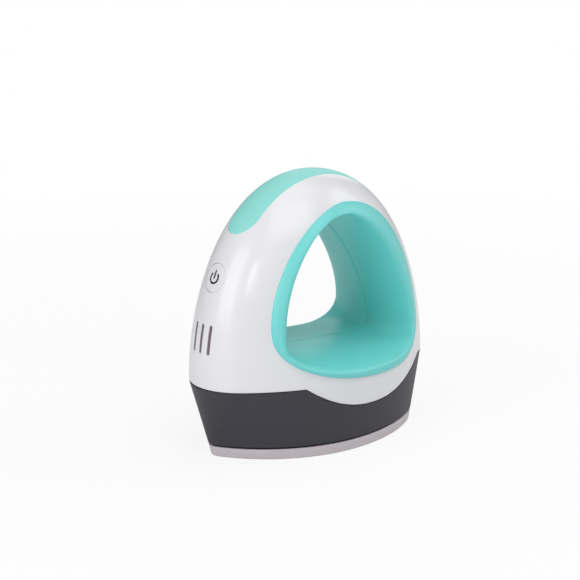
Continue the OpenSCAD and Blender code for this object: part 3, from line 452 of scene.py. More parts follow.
# A point of the shell: its turn round the body, its step up from the parting line, how far it lies
# inside the surface, its lift over the step's height and the drop that thickens the crown
def levelPoint(turn, step, inset, lift, drop=0):
    z = body["beltHeight"]
    for _ in range(settleRounds):
        x, y = ovalPoint(z, turn)
        z = shellHeight(step, x) + lift
    z = min(z, body["height"])
    x, y = ovalPoint(z, turn, inset)
    return x, y, z - drop * rise(z)


def makeShell():
    gap = parting["gap"] / 2
    rows = [(0, shell["wall"], gap, shell["crownWall"])]
    rows += [(0, inset, gap + lift, 0) for inset, lift in rounded(shell["lowerEdge"])]
    for i in range(1, shell["rows"] + 1):
        rows.append((i / shell["rows"], 0, gap + shell["lowerEdge"] * (1 - i / shell["rows"]), 0))
    for i in range(shell["innerRows"], -1, -1):
        rows.append((i / shell["innerRows"], shell["wall"], gap, shell["crownWall"]))
    bm = bmesh.new()
    wrapGrid(bm, shell["around"], len(rows) - 1, lambda u, v: levelPoint(u % 1, *rows[v]))
    return finishMesh(bm, "shell")


# A point round a stadium: its core point and the way from there to the rim. The straight run takes
# a whole number of steps, so the points of both sides meet on the core line
def stadiumPoint(step, steps, halfRun, radius):
    half = steps // 2
    straight = round(half * 2 * halfRun / (2 * halfRun + math.pi * radius))
    side = 1 if step % steps < half else -1
    step = step % half
    if step < straight:
        return Vector((halfRun * (2 * step / straight - 1), 0)) * side, Vector((0, 1)) * side
    angle = math.pi / 2 - math.pi * (step - straight) / (half - straight)
    return Vector((halfRun, 0)) * side, Vector((math.cos(angle), math.sin(angle))) * side


# A pad whose face follows the body, seen along an axis: a stadium of a half run and a radius, sunk
# below the surface, with a rounded edge. Its reach is from the origin back to a foot inside
def makePad(name, pad):
    origin, out, along = (Vector(pad[key]) for key in ("origin", "out", "along"))
    across = out.cross(along)
    radius, edge, rings = pad["radius"], pad["edge"], pad["rings"]
    shape = [(i / rings, edge, 0) for i in range(rings + 1)]
    shape += [(1, inset, drop) for inset, drop in rounded(edge, steps=4)[1:]]
    shape += [(1, 0, pad["depth"]), (0, 0, pad["depth"])]

    def place(u, v):
        share, inset, drop = shape[v]
        core, spoke = stadiumPoint(round(u * pad["around"]), pad["around"], pad["halfRun"], radius)
        flat = core + spoke * share * (radius - inset)
        foot = origin + along * flat.x + across * flat.y - out * pad["reach"]
        return foot + out * (reachSurface(foot, out, 2 * pad["reach"]) - pad["sink"] - drop)

    bm = bmesh.new()
    wrapGrid(bm, pad["around"], len(shape) - 1, place)
    return finishMesh(bm, name, angle=50)


strip = {
    "origin": (0, 0, 100), "out": (0, 0, 1), "along": (1, 0, 0),
    "halfRun": 32.8, "radius": 8.2, "around": 240, "rings": 9,
    "edge": 0.25, "depth": 1.6, "sink": 0.0, "reach": 40,
}

button = {
    "height": 78,
    "tilt": 21,
    "diameter": 12.6,
    "gap": 0.12,
    "sink": 0.06,
    "markDiameter": 5.6,
    "markLine": 0.84,
    "markGap": 38,
    "strokeBeyond": 1.05,
    "strokeBelow": 0.6,
    "ringSteps": 48,
    "strokeSteps": 16,
    # the band's section as a share of its width and a height over the button's face
    "markSection": [
        (-0.5, -0.3), (-0.5, 0.03), (-0.4, 0.05), (0, 0.05), (0.4, 0.05), (0.5, 0.03), (0.5, -0.3),
    ],
    "markEndPoints": 3,
    "markTip": 0.05,
    "markReach": 8,
}

bars = {
    "height": 53, "length": 12.4, "width": 1.5, "pitch": 4.75, "sink": 0.12, "gap": 0.05,
    "foot": -55, "cutFrom": -66, "cutLength": 20,
}


# The button's origin on the nose, its axis out of the nose and its way up
def buttonAxes():
    tilt = math.radians(button["tilt"])
    out = Vector((-math.cos(tilt), 0, math.sin(tilt)))
    up = Vector((math.sin(tilt), 0, math.cos(tilt)))
    return Vector((-halfLength(button["height"]), 0, button["height"])), out, up


def makeButton():
    origin, out, up = buttonAxes()
    return makePad("button", {
        "origin": origin, "out": out, "along": up, "halfRun": 0, "radius": button["diameter"] / 2,
        "around": 96, "rings": 10, "edge": 0.35, "depth": 5.8, "sink": button["sink"], "reach": 9,
    })


# A band laid on the button along a centre line of flat points, a little proud of it, with round ends
def addMarkBand(bm, line, width):
    origin, out, up = buttonAxes()
    across = out.cross(up)
    section, reach = button["markSection"], button["markReach"]
    last = len(line) - 1

    def place(u, v):
        ahead = Vector(line[min(last, v + 1)]) - Vector(line[max(0, v - 1)])
        side = Vector((-ahead.y, ahead.x)).normalized()
        shift, lift = section[round(u * len(section)) % len(section)]
        fromEnd = max(0, 1 - min(v, last - v) / button["markEndPoints"])
        narrow = min(1, math.sqrt(1 - fromEnd ** 2) + button["markTip"])
        flat = Vector(line[v]) + side * shift * width * narrow
        foot = origin + up * flat.x + across * flat.y - out * reach
        return foot + out * (reachSurface(foot, out, 2 * reach) - button["sink"] + lift)

    wrapGrid(bm, len(section), last, place)


def makeMark():
    radius = (button["markDiameter"] - button["markLine"]) / 2
    gap, steps = math.radians(button["markGap"]), button["ringSteps"]
    turns = [mix(gap, 2 * math.pi - gap, i / steps) for i in range(steps + 1)]
    ring = [(radius * math.cos(turn), radius * math.sin(turn)) for turn in turns]
    low, high, steps = -button["strokeBelow"], radius + button["strokeBeyond"], button["strokeSteps"]
    stroke = [(mix(low, high, i / steps), 0) for i in range(steps + 1)]
    bm = bmesh.new()
    addMarkBand(bm, ring, button["markLine"])
    addMarkBand(bm, stroke, button["markLine"])
    bmesh.ops.holes_fill(bm, edges=[e for e in bm.edges if e.is_boundary], sides=0)
    return finishMesh(bm, "powerMark", angle=60)


def makeBar(index):
    y = (index - 1) * bars["pitch"]
    return makePad(f"lightBar{index + 1}", {
        "origin": (bars["foot"], y, bars["height"]), "out": (-1, 0, 0), "along": (0, 0, 1),
        "halfRun": (bars["length"] - bars["width"]) / 2, "radius": bars["width"] / 2,
        "around": 64, "rings": 3, "edge": 0.2, "depth": 2.6, "sink": bars["sink"], "reach": 12,
    })


# A block over a stadium that is seen along an axis
def stadiumBlock(name, origin, along, across, halfRun, radius, shift, steps=96):
    points = [stadiumPoint(i, steps, halfRun, radius) for i in range(steps)]
    flats = [core + spoke * radius for core, spoke in points]
    bm = bmesh.new()
    addPrism(bm, [Vector(origin) + along * flat.x + across * flat.y for flat in flats], shift)
    return finishMesh(bm, name)


def cylinderBlock(name, foot, radius, length, axis=(1, 0, 0)):
    bm = bmesh.new()
    addCylinder(bm, foot, axis, radius, length)
    return finishMesh(bm, name)


# Where screws join the pieces; posts and bosses have their holes at their open ends

screws = {
    "bore": 1.5,
    "hole": 1.65,
    "smallBore": 1,
    "bosses": [(-34, -15), (-34, 15), (42.8, -11.5), (42.8, 11.5)],
    "pillars": [(-42, 0), (42, 0), (4, 23.5), (4, -23.5)],
    "postBore": 5,
    "pillarBore": 7,
}

# The base's floor; it overlaps the wall, and the cutters of its holes reach beyond it
deck = {"low": 14, "high": 16.4, "overlap": 0.3, "around": 144, "beyond": 1}

# How far a post goes into the piece that carries it
bite = 0.4


# Inside of the shell

shellInside = {
    "boss": 3.6,
    "bossHeight": 21,
    "bossBore": 7,
    "webFoot": 35.2,
    "webHalf": 1,
    "sleeve": 8.5,
    "sleeveFrom": 2.4,
    "sleeveTo": 6,
    # along and across the button's face
    "posts": [(13, 0), (-12, 8.6), (-12, -8.6)],
    "post": 2.3,
    "postFoot": 14.1,
    "glandBoss": 7.75,
    "glandBossLength": 7,
}


def addBoss(bm, x, y):
    top = deck["high"] + shellInside["bossHeight"]
    addPost(bm, (x, y, deck["high"]), (0, 0, 1), shellInside["boss"], shellInside["bossHeight"],
            screws["bore"], shellInside["bossBore"])
    low, half = shellInside["webFoot"], shellInside["webHalf"]
    wall = math.copysign(ovalReach(y, low, x < 0) - shell["wall"] / 2, x)
    outline = [(x, y - half, low), (wall, y - half, low), (wall, y + half, low), (x, y + half, low)]
    addPrism(bm, outline, (0, 0, top - low))


def addShellInside(piece):
    bm = bmesh.new()
    for x, y in screws["bosses"]:
        addBoss(bm, x, y)
    origin, out, up = buttonAxes()
    across = out.cross(up)
    start, length = shellInside["sleeveFrom"], shellInside["sleeveTo"] - shellInside["sleeveFrom"]
    addTube(bm, origin - out * start, -out, shellInside["sleeve"], length, buttonHole())
    for along, aside in shellInside["posts"]:
        foot = origin + up * along + across * aside - out * shellInside["postFoot"]
        length = reachSurface(foot, out, 2 * shellInside["postFoot"]) - shell["wall"] / 2
        addPost(bm, foot, out, shellInside["post"], length, screws["smallBore"], screws["postBore"])
    seat = (shell["inletSeat"] - shell["inletInside"], 0, shell["inletHeight"])
    addTube(bm, seat, (1, 0, 0), shellInside["glandBoss"], shellInside["glandBossLength"],
            shell["inletHole"] / 2)
    addInside(piece, bm)


# Pegs under the strip

pegs = {
    "places": (-24, 0, 24),
    "radius": 1.5,
    "hole": 1.65,
    "length": 5.6,
    "bore": 0.5,
    "boreDepth": 1,
    "cutBelow": 16,
    "cutLength": 40,
}


def addPegs(piece):
    bm = bmesh.new()
    for x in pegs["places"]:
        top = crownHeight(x) - strip["depth"] / 2 - (pegs["radius"] if x else 0)
        foot = (x, 0, top - pegs["length"])
        addPost(bm, foot, (0, 0, 1), pegs["radius"], pegs["length"], pegs["bore"], pegs["boreDepth"])
    addInside(piece, bm)


def pegCutters():
    feet = [(x, 0, crownHeight(x) - pegs["cutBelow"]) for x in pegs["places"]]
    return [cylinderBlock("pegCutter", foot, pegs["hole"], pegs["cutLength"], (0, 0, 1)) for foot in feet]


# Cutters for the shell; each reaches well beyond the wall that it goes through

cuts = {
    "tunnelSteps": 160,
    "tunnelHalf": 60,
    "buttonHalf": 12,
    "flangeLength": 10,
    "glandFrom": 40,
    "glandLength": 30,
    "stripAbove": 3,
    "stripBelow": 0.02,
    "stripEdge": 0.01,
}


def buttonHole():
    return button["diameter"] / 2 + button["gap"]


def tunnelCutter():
    hole, half = [], cuts["tunnelHalf"]
    for i in range(cuts["tunnelSteps"]):
        angle = 2 * math.pi * i / cuts["tunnelSteps"]
        x, z = rimPoint(angle, 1 - tunnel["cover"] / rimDepth(angle))
        hole.append((x, -half, z))
    bm = bmesh.new()
    addPrism(bm, hole, (0, 2 * half, 0))
    return finishMesh(bm, "tunnelCutter")


def barCutter(index):
    middle = (bars["cutFrom"], (index - 1) * bars["pitch"], bars["height"])
    radius = bars["width"] / 2 + bars["gap"]
    halfRun = (bars["length"] - bars["width"]) / 2
    upward, sideways = Vector((0, 0, 1)), Vector((0, 1, 0))
    return stadiumBlock("barCutter", middle, upward, sideways, halfRun, radius, (bars["cutLength"], 0, 0))


def shellCutters():
    origin, out, up = buttonAxes()
    foot, through = origin - out * cuts["buttonHalf"], out * 2 * cuts["buttonHalf"]
    cutters = [tunnelCutter()]
    cutters.append(stadiumBlock("buttonCutter", foot, up, out.cross(up), 0, buttonHole(), through))
    cutters += [barCutter(index) for index in range(3)]
    seat = (shell["inletSeat"], 0, shell["inletHeight"])
    cutters.append(cylinderBlock("flangeCutter", seat, shell["inletFlange"] / 2, cuts["flangeLength"]))
    behind = (cuts["glandFrom"], 0, shell["inletHeight"])
    cutters.append(cylinderBlock("glandCutter", behind, shell["inletHole"] / 2, cuts["glandLength"]))
    return cutters


# The recess for the strip: a block over the stadium whose floor follows the crown
def stripCutter():
    cutter = dict(strip)
    cutter["radius"] += shell["stripGap"]
    cutter["edge"] = cuts["stripEdge"]
    cutter["sink"] = -cuts["stripAbove"]
    cutter["depth"] = cuts["stripAbove"] + strip["depth"] + cuts["stripBelow"]
    return makePad("stripCutter", cutter)


liners = [makeLiner("linerFront", -1), makeLiner("linerRear", 1)]
print("liner made")
shellPiece = makeShell()
# The peg holes come first, because the boolean solver keeps a peg cutter that comes last
cutWith(shellPiece, pegCutters() + shellCutters() + [stripCutter()])
addShellInside(shellPiece)
print("shell made")
stripPiece = makePad("gripStrip", strip)
addPegs(stripPiece)
buttonPiece = makeButton()
markPiece = makeMark()
barPieces = [makeBar(i) for i in range(3)]
print("strip, button and bars made")


# Base, seal and plate

base = {
    "foot": 5.6,
    "wall": 3.8,
    "tongueInset": 2.6,
    "tongue": 2.5,
    "footEdge": 0.35,
    "topEdge": 0.35,
    "rows": 20,
    "around": 288,
    "standoffs": [(-23, -15), (-23, 15), (23, -15), (23, 15)],
    "standoff": 2.5,
    "standoffHeight": 5,
    # x, y and radius
    "leadHoles": [(35.4, -15, 2), (35.4, 15, 2), (35.4, -7.5, 2), (-15.95, 0, 1.5)],
}

plate = {
    "thickness": 4.8,
    "lowerEdge": 0.9,
    "upperEdge": 0.3,
    "flatInset": 3,
    "around": 240,
    "pillar": 4.5,
    "pillarTop": 12.2,
    # x and radius
    "clampPosts": [(-8, 4), (18, 4), (-22.5, 3.5)],
    "clampTop": 9.4,
    "clampBore": 4.6,
    "bendX": -14,
    "bendRadius": 15,
    "bendSteps": 48,
    "ribEnd": 30.5,
    "ribTop": 8.4,
    "ribHalf": 4.7,
    "grooveHalf": 3.1,
    "grooveEnd": 38,
    "grooveFloor": 3.4,
    "grooveCut": 4,
}

seal = {"edge": 0.9, "waist": 0.75, "inner": 3.5, "waistFrom": 0.3, "waistTo": 0.7, "around": 240}


def makeBase():
    gap = parting["gap"] / 2

    def topHeight(turn):
        z = body["beltHeight"]
        for _ in range(settleRounds):
            z = partingHeight(ovalPoint(z, turn)[0])
        return z - gap

    shape = [("foot", base["wall"], 0)]
    shape += [("foot", inset, lift) for inset, lift in rounded(base["footEdge"], steps=4)]
    shape += [("side", 0, i / base["rows"]) for i in range(1, base["rows"])]
    shape += [("top", inset, -lift) for inset, lift in rounded(base["topEdge"], steps=4)[::-1]]
    shape += [("top", base["tongueInset"], 0), ("top", base["tongueInset"], base["tongue"])]
    shape += [("top", base["wall"], base["tongue"]), ("top", base["wall"], 0), ("foot", base["wall"], 0)]

    def place(u, v):
        kind, inset, value = shape[v]
        high = topHeight(u % 1)
        low = base["foot"] + base["footEdge"]
        z = mix(low, high - base["topEdge"], value)
        if kind == "foot":
            z = base["foot"] + value
        elif kind == "top":
            z = high + value
        x, y = ovalPoint(z, u % 1, inset)
        return x, y, z

    bm = bmesh.new()
    wrapGrid(bm, base["around"], len(shape) - 1, place)
    slab = [(0, deck["low"]), (1, deck["low"]), (1, deck["high"]), (0, deck["high"])]

    def placeDeck(u, v):
        share, z = slab[v]
        x, y = ovalPoint(deck["low"], u % 1, base["wall"] - deck["overlap"])
        return x * share, y * share, z

    wrapGrid(bm, deck["around"], len(slab) - 1, placeDeck)
    return finishMesh(bm, "base")


def finishBase(piece):
    foot, length = deck["low"] - deck["beyond"], deck["high"] - deck["low"] + 2 * deck["beyond"]
    holes = [(x, y, screws["hole"]) for x, y in screws["pillars"] + screws["bosses"]]
    cutWith(piece, [cylinderBlock("deckCutter", (x, y, foot), radius, length, (0, 0, 1))
                    for x, y, radius in holes + base["leadHoles"]])
    bm = bmesh.new()
    high = base["standoffHeight"]
    for x, y in base["standoffs"]:
        addPost(bm, (x, y, deck["high"] + high), (0, 0, -1), base["standoff"], high + bite,
                screws["smallBore"], high)
    addInside(piece, bm)


def makePlate():
    top, flat = plate["thickness"], plate["flatInset"]
    shape = [(0, 0, 0), (1, flat, 0)]
    shape += [(1, inset, lift) for inset, lift in rounded(plate["lowerEdge"], steps=6)]
    shape += [(1, inset, top - lift) for inset, lift in rounded(plate["upperEdge"], steps=3)[::-1]]
    shape += [(1, flat, top), (0, 0, top)]

    def place(u, v):
        share, inset, z = shape[v]
        x, y = ovalPoint(z, u % 1, inset)
        return x * share, y * share, z

    bm = bmesh.new()
    wrapGrid(bm, plate["around"], len(shape) - 1, place)
    return finishMesh(bm, "soleplate")


# The element's path seen from above: a bend round the nose and two legs, between two offsets
def elementOutline(inward, outward, end, z):
    middle, steps = plate["bendX"], plate["bendSteps"]
    near, far = plate["bendRadius"] + inward, plate["bendRadius"] + outward
    turns = [math.pi / 2 + math.pi * i / steps for i in range(steps + 1)]
    rims = [[(middle + r * math.cos(t), r * math.sin(t), z) for t in turns] for r in (near, far)]
    return [(end, near, z)] + rims[0] + [(end, -near, z), (end, -far, z)] + rims[1][::-1] + [(end, far, z)]


def finishPlate(piece):
    half, rib = plate["grooveHalf"], plate["ribHalf"]
    bm = bmesh.new()
    groove = elementOutline(-half, half, plate["grooveEnd"], plate["grooveFloor"])
    addPrism(bm, groove, (0, 0, plate["grooveCut"]))
    cutWith(piece, [finishMesh(bm, "grooveCutter")])
    bm = bmesh.new()
    foot = plate["thickness"] - bite
    for inward, outward in ((-rib, -half), (half, rib)):
        outline = elementOutline(inward, outward, plate["ribEnd"], foot)
        addPrism(bm, outline, (0, 0, plate["ribTop"] - foot))
    posts = [(x, y, plate["pillarTop"], plate["pillar"], screws["pillarBore"]) for x, y in screws["pillars"]]
    posts += [(x, 0, plate["clampTop"], radius, plate["clampBore"]) for x, radius in plate["clampPosts"]]
    for x, y, top, radius, deep in posts:
        addPost(bm, (x, y, top), (0, 0, -1), radius, top - foot, screws["bore"], deep)
    addInside(piece, bm)


def makeSeal():
    low, high = plate["thickness"], base["foot"]
    edge, waist, inner = seal["edge"], seal["waist"], seal["inner"]
    shape = [(edge, low), (waist, mix(low, high, seal["waistFrom"]))]
    shape += [(waist, mix(low, high, seal["waistTo"])), (edge, high)]
    shape += [(inner, high), (inner, low), (edge, low)]

    def place(u, v):
        inset, z = shape[v]
        x, y = ovalPoint(z, u % 1, inset)
        return x, y, z

    bm = bmesh.new()
    wrapGrid(bm, seal["around"], len(shape) - 1, place)
    return finishMesh(bm, "seal")


basePiece = makeBase()
finishBase(basePiece)
platePiece = makePlate()
finishPlate(platePiece)
sealPiece = makeSeal()
print("base, seal and plate made")


# Cord inlet

gland = {"bore": 3.5, "body": 5.5, "flange": 7.25, "flangeThickness": 2.8, "edge": 0.6, "mouth": 0.9}


def makeGland():
    inside, flange, bore = shell["inletInside"], gland["flange"], gland["bore"]
    outer = inside + gland["flangeThickness"]
    profile = [(bore, 0), (gland["body"], 0), (gland["body"], inside), (flange, inside)]
    profile += [(flange - drop, outer - inset) for inset, drop in rounded(gland["edge"])]
    profile += [(bore + inset, outer - drop) for inset, drop in rounded(gland["mouth"])]
    bm = bmesh.new()
    spinProfile(bm, (shell["inletSeat"] - inside, 0, shell["inletHeight"]), (1, 0, 0), profile)
    return finishMesh(bm, "inletGrommet")


glandPiece = makeGland()
print("cord inlet made")


# Materials

# A value that runs through a material's nodes; arithmetic on it adds Math nodes
class Value:
    def __init__(self, tree, socket):
        self.tree, self.socket = tree, socket

    def maths(self, operation, first, second):
        return self.tree.node("ShaderNodeMath", {"operation": operation}, {0: first, 1: second})[0]

    def __add__(self, other):
        return self.maths("ADD", self, other)

    def __sub__(self, other):
        return self.maths("SUBTRACT", self, other)

    def __rsub__(self, other):
        return self.maths("SUBTRACT", other, self)

    def __mul__(self, other):
        return self.maths("MULTIPLY", self, other)

    def atLeast(self, other):
        return self.maths("MAXIMUM", self, other)

    def atMost(self, other):
        return self.maths("MINIMUM", self, other)

    __radd__ = __add__
    __rmul__ = __mul__


class NodeTree:
    def __init__(self, owner):
        owner.use_nodes = True
        self.graph = owner.node_tree

    def node(self, kind, settings, inputs):
        made = self.graph.nodes.new(kind)
        for key, value in settings.items():
            setattr(made, key, value)
        for key, value in inputs.items():
            self.feed(made.inputs[key], value)
        return [Value(self, socket) for socket in made.outputs]

    def feed(self, socket, value):
        if isinstance(value, Value):
            self.graph.links.new(value.socket, socket)
        elif isinstance(value, tuple) and len(value) < len(getattr(socket, "default_value", ())):
            socket.default_value = (*value, 1)
        else:
            socket.default_value = value


class Finish(NodeTree):
    def __init__(self, name):
        self.material = bpy.data.materials.new(name)
        super().__init__(self.material)
        self.shader = self.graph.nodes["Principled BSDF"]

    # Object coordinates
    def place(self):
        return self.node("ShaderNodeTexCoord", {}, {})[3]

    def noise(self, size, detail=3, rough=0.55):
        scale = 1 / (size * toMetres)
        inputs = {"Vector": self.place(), "Scale": scale, "Detail": detail, "Roughness": rough}
        return self.node("ShaderNodeTexNoise", {}, inputs)[0]

    # A colour Mix node's sockets: 0 takes the factor, 6 and 7 the colours, and 2 gives the result
    def blend(self, factor, first, second):
        return self.node("ShaderNodeMix", {"data_type": "RGBA"}, {0: factor, 6: first, 7: second})[2]

    def bump(self, height, strength, distance):
        inputs = {"Height": height, "Strength": strength, "Distance": distance * toMetres}
        self.set("Normal", self.node("ShaderNodeBump", {}, inputs)[0])

    def set(self, name, value):
        self.feed(self.shader.inputs[name], value)


# A screen colour from 0 to 255 as linear light
def fromPicture(red, green, blue):
    shares = [value / 255 for value in (red, green, blue)]
    return tuple(c / 12.92 if c <= 0.04045 else ((c + 0.055) / 1.055) ** 2.4 for c in shares)


def shaded(color, share):
    return tuple(min(1, c * share) for c in color)


moulding = {
    "broadSize": 40, "detail": 2, "broadShare": 0.8, "glossFine": 0.08, "glossBroad": 0.06, "bump": 0.35,
}


# Moulded plastic: broad tone drift, fine grain in the gloss and a moulding texture in the bump
def moulded(name, color, drift, roughness, grain, depth, coat=0.0, coatRoughness=0.1, specular=0.5):
    finish = Finish(name)
    broad = finish.noise(moulding["broadSize"], moulding["detail"])
    fine = finish.noise(grain, moulding["detail"])
    tone = broad * moulding["broadShare"] + fine * (1 - moulding["broadShare"])
    finish.set("Base Color", finish.blend(tone, shaded(color, 1 - drift), shaded(color, 1 + drift)))
    gloss = (fine - 0.5) * moulding["glossFine"] + (broad - 0.5) * moulding["glossBroad"]
    finish.set("Roughness", roughness + gloss)
    finish.set("Coat Weight", coat)
    finish.set("Coat Roughness", coatRoughness)
    finish.set("Specular IOR Level", specular)
    finish.bump(fine, moulding["bump"], depth)
    return finish.material


stone = {
    "light": (219, 212, 216), "dark": (185, 177, 182), "speck": (126, 118, 123),
    "broadSize": 25, "fineSize": 0.35, "speckSize": 0.7, "speckReach": 0.2, "speckSharpness": 2.5,
    "roughness": 0.42, "gloss": 0.2, "metallic": 0.15, "bump": 0.4, "depth": 0.02,
}


def stoneCoat(name):
    finish = Finish(name)
    scale = 1 / (stone["speckSize"] * toMetres)
    speck = finish.node("ShaderNodeTexVoronoi", {}, {"Vector": finish.place(), "Scale": scale})[0]
    broad, fine = finish.noise(stone["broadSize"]), finish.noise(stone["fineSize"])
    light, dark, spot = (fromPicture(*stone[key]) for key in ("light", "dark", "speck"))
    color = finish.blend(broad * 0.5 + fine * 0.5, dark, light)
    inSpeck = (stone["speckReach"] - speck) * stone["speckSharpness"]
    finish.set("Base Color", finish.blend(inSpeck, color, spot))
    finish.set("Roughness", stone["roughness"] + (fine - 0.5) * stone["gloss"])
    finish.set("Metallic", stone["metallic"])
    finish.bump(fine, stone["bump"], stone["depth"])
    return finish.material


rolling = {"stretch": (40, 900, 900), "detail": 3, "dark": 0.82, "gloss": 0.2, "bump": 0.2, "depth": 0.01}


# Rolled metal: fine streaks along X
def rolledMetal(name, color, roughness, size):
    finish = Finish(name)
    inputs = {"Vector": finish.place(), "Scale": rolling["stretch"]}
    stretched = finish.node("ShaderNodeMapping", {}, inputs)[0]
    inputs = {"Vector": stretched, "Scale": size, "Detail": rolling["detail"]}
    streak = finish.node("ShaderNodeTexNoise", {}, inputs)[0]
    finish.set("Base Color", finish.blend(streak, shaded(color, rolling["dark"]), color))
    finish.set("Metallic", 1.0)
    finish.set("Roughness", roughness + (streak - 0.5) * rolling["gloss"])
    finish.bump(streak, rolling["bump"], rolling["depth"])
    return finish.material


felt = {
    "size": 1.2, "detail": 6, "rough": 0.7, "dark": 0.8,
    "roughness": 0.85, "gloss": 0.1, "bump": 0.8, "depth": 0.2,
}


def fibreFelt(name, color):
    finish = Finish(name)
    strand = finish.noise(felt["size"], felt["detail"], felt["rough"])
    finish.set("Base Color", finish.blend(strand, shaded(color, felt["dark"]), color))
    finish.set("Roughness", felt["roughness"] + (strand - 0.5) * felt["gloss"])
    finish.bump(strand, felt["bump"], felt["depth"])
    return finish.material


mask = {
    "first": (18, 92, 52), "second": (22, 104, 60), "trace": (44, 136, 84), "cloud": (12, 70, 40),
    "scale": 260.0, "line": 0.03, "cloudSize": 6, "cloudDetail": 2, "cloudShare": 0.3,
    "roughness": 0.35, "gloss": 0.1, "bump": 0.3, "depth": 0.03,
}


# A board's solder mask with traces under it
def maskedBoard(name):
    finish = Finish(name)
    first, second, line, dark = (fromPicture(*mask[key]) for key in ("first", "second", "trace", "cloud"))
    trace = finish.node("ShaderNodeTexBrick", {}, {
        "Vector": finish.place(), "Color1": first, "Color2": second, "Mortar": line,
        "Scale": mask["scale"], "Mortar Size": mask["line"]})
    cloud = finish.noise(mask["cloudSize"], mask["cloudDetail"])
    finish.set("Base Color", finish.blend(cloud * mask["cloudShare"], trace[0], dark))
    finish.set("Roughness", mask["roughness"] + (cloud - 0.5) * mask["gloss"])
    finish.bump(trace[1], mask["bump"], mask["depth"])
    return finish.material


white = fromPicture(228, 228, 232)

# A moulding's values: name, colour, tone drift, roughness, grain size and depth in mm, coat, the
# coat's roughness and the specular level. A rolled metal's: name, colour, roughness, streak size
finishes = {
    "shell_white": moulded("shellWhite", white, 0.012, 0.38, 0.5, 0.004, 0.6, 0.17),
    "button_white": moulded("buttonWhite", fromPicture(224, 224, 229), 0.012, 0.42, 0.4, 0.006, 0.1, 0.3),
    "liner_teal": moulded("linerTeal", fromPicture(113, 214, 210), 0.02, 0.42, 0.4, 0.01, 0.1, 0.3, 0.5),
    "grip_teal": moulded("gripTeal", fromPicture(144, 220, 213), 0.02, 0.5, 0.4, 0.01, 0, 0.3, 0.4),
    "base_grey": moulded("baseGrey", fromPicture(50, 48, 57), 0.05, 0.5, 0.3, 0.02, 0, 0.4, 0.5),
    "seal_black": moulded("sealBlack", (0.008, 0.008, 0.009), 0.1, 0.7, 0.4, 0.02, 0, 0.3, 0.15),
    "mark_black": moulded("markBlack", (0.008, 0.006, 0.008), 0.1, 0.6, 0.3, 0.005, 0, 0.3, 0.2),
    "light_bar": moulded("lightBar", fromPicture(108, 94, 98), 0.08, 0.4, 0.4, 0.01, 0.1, 0.2),
    "gland_grey": moulded("glandGrey", fromPicture(86, 86, 92), 0.06, 0.6, 0.4, 0.03),
    "switch_black": moulded("switchBlack", (0.02, 0.02, 0.022), 0.1, 0.45, 0.4, 0.02),
    "relay_blue": moulded("relayBlue", (0.03, 0.09, 0.35), 0.05, 0.35, 0.4, 0.01, 0.2),
    "film_yellow": moulded("filmYellow", (0.75, 0.55, 0.08), 0.05, 0.35, 0.6, 0.02, 0.2),
    "can_sleeve": moulded("canSleeve", (0.03, 0.035, 0.05), 0.1, 0.3, 0.5, 0.01, 0.3),
    "block_green": moulded("blockGreen", (0.05, 0.25, 0.12), 0.06, 0.45, 0.4, 0.02),
    "connector_cream": moulded("connectorCream", (0.85, 0.82, 0.72), 0.03, 0.45, 0.4, 0.02),
    "lead_red": moulded("leadRed", (0.55, 0.04, 0.03), 0.06, 0.55, 0.5, 0.02),
    "lead_white": moulded("leadWhite", (0.82, 0.82, 0.8), 0.05, 0.6, 0.5, 0.04),
    "ribbon_grey": moulded("ribbonGrey", (0.5, 0.5, 0.52), 0.05, 0.5, 0.5, 0.02),
    "ceramic": moulded("ceramic", (0.92, 0.9, 0.86), 0.03, 0.4, 0.6, 0.02, 0.2),
    "mica": moulded("mica", (0.82, 0.77, 0.62), 0.1, 0.35, 1.2, 0.03),
    "led_lens": moulded("ledLens", (0.9, 0.85, 0.6), 0.02, 0.25, 0.5, 0.01, 0.3),
    "plate_coating": stoneCoat("plateCoating"),
    "ceramic_fibre": fibreFelt("ceramicFibre", (0.9, 0.88, 0.82)),
    "element_steel": rolledMetal("elementSteel", (0.5, 0.47, 0.45), 0.4, 1.0),
    "bright_steel": rolledMetal("brightSteel", (0.74, 0.75, 0.77), 0.3, 1.0),
    "screw_steel": rolledMetal("screwSteel", (0.7, 0.7, 0.72), 0.28, 3.0),
    "board_green": maskedBoard("boardGreen"),
}


def dress(piece, slot):
    piece.data.materials.clear()
    piece.data.materials.append(finishes[slot])


def stand(piece, bodyName, slot, *nodes):
    dress(piece, slot)
    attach(piece, bodyName)
    if nodes:
        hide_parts(*nodes)


for row in frame["record"]["subparts"]:
    dress(frame["nodes"][row["node"]], row["material_slot"])

stand(shellPiece, "housing", "shell_white", "outer_shell")
stand(liners[0], "housing", "liner_teal", "liner_front")
stand(liners[1], "housing", "liner_teal", "liner_rear")
stand(stripPiece, "housing", "grip_teal", "grip_strip")
stand(basePiece, "housing", "base_grey", "base_skirt")
stand(platePiece, "housing", "plate_coating", "heat_plate")
stand(sealPiece, "housing", "seal_black", "plate_seal")
stand(glandPiece, "housing", "gland_grey", "cord_gland")
stand(buttonPiece, "button", "button_white", "power_button")
stand(markPiece, "button", "mark_black", "power_mark")
for i, piece in enumerate(barPieces):
    stand(piece, "housing", "light_bar", *(["light_guide"] if i == 0 else []))
print("materials set")


# Floor, sky and lamps

